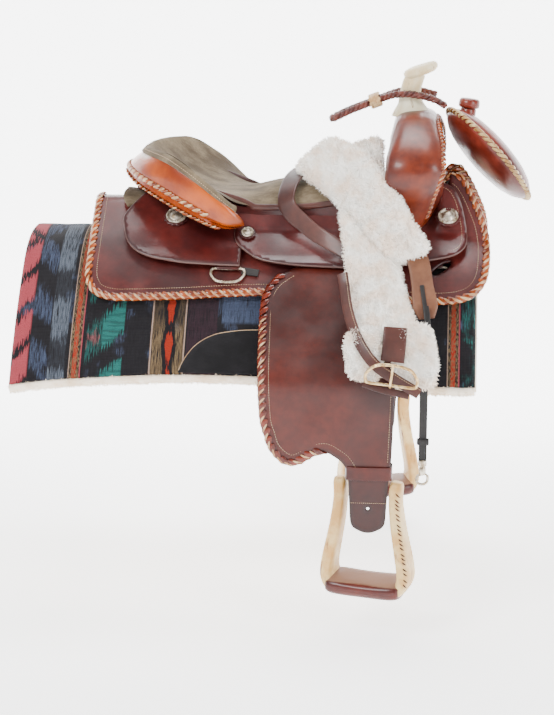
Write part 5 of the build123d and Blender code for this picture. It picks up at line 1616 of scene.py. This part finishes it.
def rigging(key, side_name, side):
    """one ring and the leather folded round its flat bar"""
    u, v, out, half, reach, wire, width, leather_name = DEES[key]
    place = on(saddle_yz, side)
    origin, ex, ey, ez = frame_on(place, u, v, out)
    down = unit(place(u, v + 1, out) - origin)
    line = dee_line(half, reach, wire * 2)
    ring = origin + np.outer(line[:, 0], ex) + np.outer(line[:, 1], down)
    body = f"{key}_dee_{side_name}"
    make(f"{body}_wire", sweep(ring, wire, sides=12, closed=True), "nickel", [body], body)
    turns = np.linspace(0.3, 2 * math.pi - 0.3, 17)[8:0:-1]
    fold = [origin + (down * math.cos(a) + ez * math.sin(a)) * (wire + 1.6) for a in turns]
    path = even(np.array([origin - down * 26 + ez * 2.2] + fold), 2)
    ups = np.array([unit(p - origin + ez * 0.01) for p in path])
    make(f"{key}_rigging_{side_name}", strap(path, width, 2.2, ups, sides=12), leather_name,
         ["rigging_straps"])


for side_name, side in SIDES.items():
    for key in DEES:
        rigging(key, side_name, side)
    # dark strap that runs forward from the rear dee
    place = on(saddle_yz, side)
    path = place(np.linspace(-88, -60, 8), np.linspace(80, 84, 8), 39.5)
    normal = frame_on(place, -60, 83, 39)[3]
    make(f"rear_billet_{side_name}", strap(path, 7, 3.2, normal), "black_leather")

# ------------------------------------------------------------ floor, light, camera (metres)
FLOOR_Z, FLOOR_R, SWEEP = -0.62, 3.0, 3.0
TALL_WALL, LOW_WALL = 6.0, 1.2
round_the_floor = np.linspace(0, 2 * math.pi, 65)


def floor_ring(r, height_at):
    return [(r * math.cos(a), r * math.sin(a), FLOOR_Z + height_at(a)) for a in round_the_floor]


def wall_height(a):
    """the wall behind the object is tall, and low on the camera's side"""
    return LOW_WALL + (TALL_WALL - LOW_WALL) * smooth(math.sin(a), 0.2, 0.8)


floor_rows = [floor_ring(FLOOR_R * t, lambda a: 0.0) for t in np.linspace(0, 1, 8)]
for turn in np.linspace(0.1, 1, 12) * math.pi / 2:
    rise = 1 - math.cos(turn)
    floor_rows.append(floor_ring(FLOOR_R + SWEEP * math.sin(turn), lambda a: rise * wall_height(a)))
backdrop_mesh = bpy.data.meshes.new("backdrop")
backdrop_verts, backdrop_faces = grid_mesh(np.array(floor_rows, float))
backdrop_mesh.from_pydata(backdrop_verts.tolist(), [], backdrop_faces)
backdrop_mesh.shade_smooth()
paper = Shader("backdrop")
paper_color = paper.mix(paper.noise(paper.coords(), 2.0), linear(246, 246, 246), linear(250, 250, 250))
glow = paper.remap(paper.split(paper.coords())[1], 0.0, 1.3, 1.5, 3.8)
backdrop_mesh.materials.append(paper.finish(paper_color, 0.95, Specular_IOR_Level=0.1,
                                            Emission_Color=linear(255, 255, 255), Emission_Strength=glow))


def add_to_scene(name, data, place=(0, 0, 0), turned=(0, 0, 0)):
    obj = bpy.data.objects.new(name, data)
    obj.location, obj.rotation_euler = place, turned
    bpy.context.scene.collection.objects.link(obj)
    return obj


def area_light(name, place, target, size, power):
    lamp = bpy.data.lights.new(name, "AREA")
    lamp.shape, lamp.size, lamp.size_y, lamp.energy = "RECTANGLE", size[0], size[1], power
    aim = (Vector(target) - Vector(place)).to_track_quat("-Z", "Y").to_euler()
    add_to_scene(name, lamp, place, aim)


add_to_scene("backdrop", backdrop_mesh)
area_light("key", (-1.7, -2.2, 2.2), (0, 0, 0), (1.3, 0.9), 120)
area_light("fill", (2.4, -2.0, 1.2), (0, 0, 0), (0.9, 1.5), 70)
area_light("top", (0.1, 0.4, 2.6), (0, 0, 0), (1.8, 1.2), 85)
area_light("wall", (0.0, 1.6, 2.4), (0.0, 4.5, 0.6), (4.0, 1.6), 90)
world = bpy.data.worlds.new("studio")
world.use_nodes = True
sky = world.node_tree.nodes["Background"].inputs
sky["Color"].default_value, sky["Strength"].default_value = (0.93, 0.94, 0.96, 1), 0.75
bpy.context.scene.world = world

CAMERA_DOWN, CAMERA_TURN = math.radians(14.4), math.radians(4.7)
camera_data = bpy.data.cameras.new("camera")
camera_data.lens, camera_data.sensor_width = 100.7, 36
bpy.context.scene.camera = add_to_scene("camera", camera_data, (0.242, -3.437, 0.6715),
                                        (math.pi / 2 - CAMERA_DOWN, 0, CAMERA_TURN))
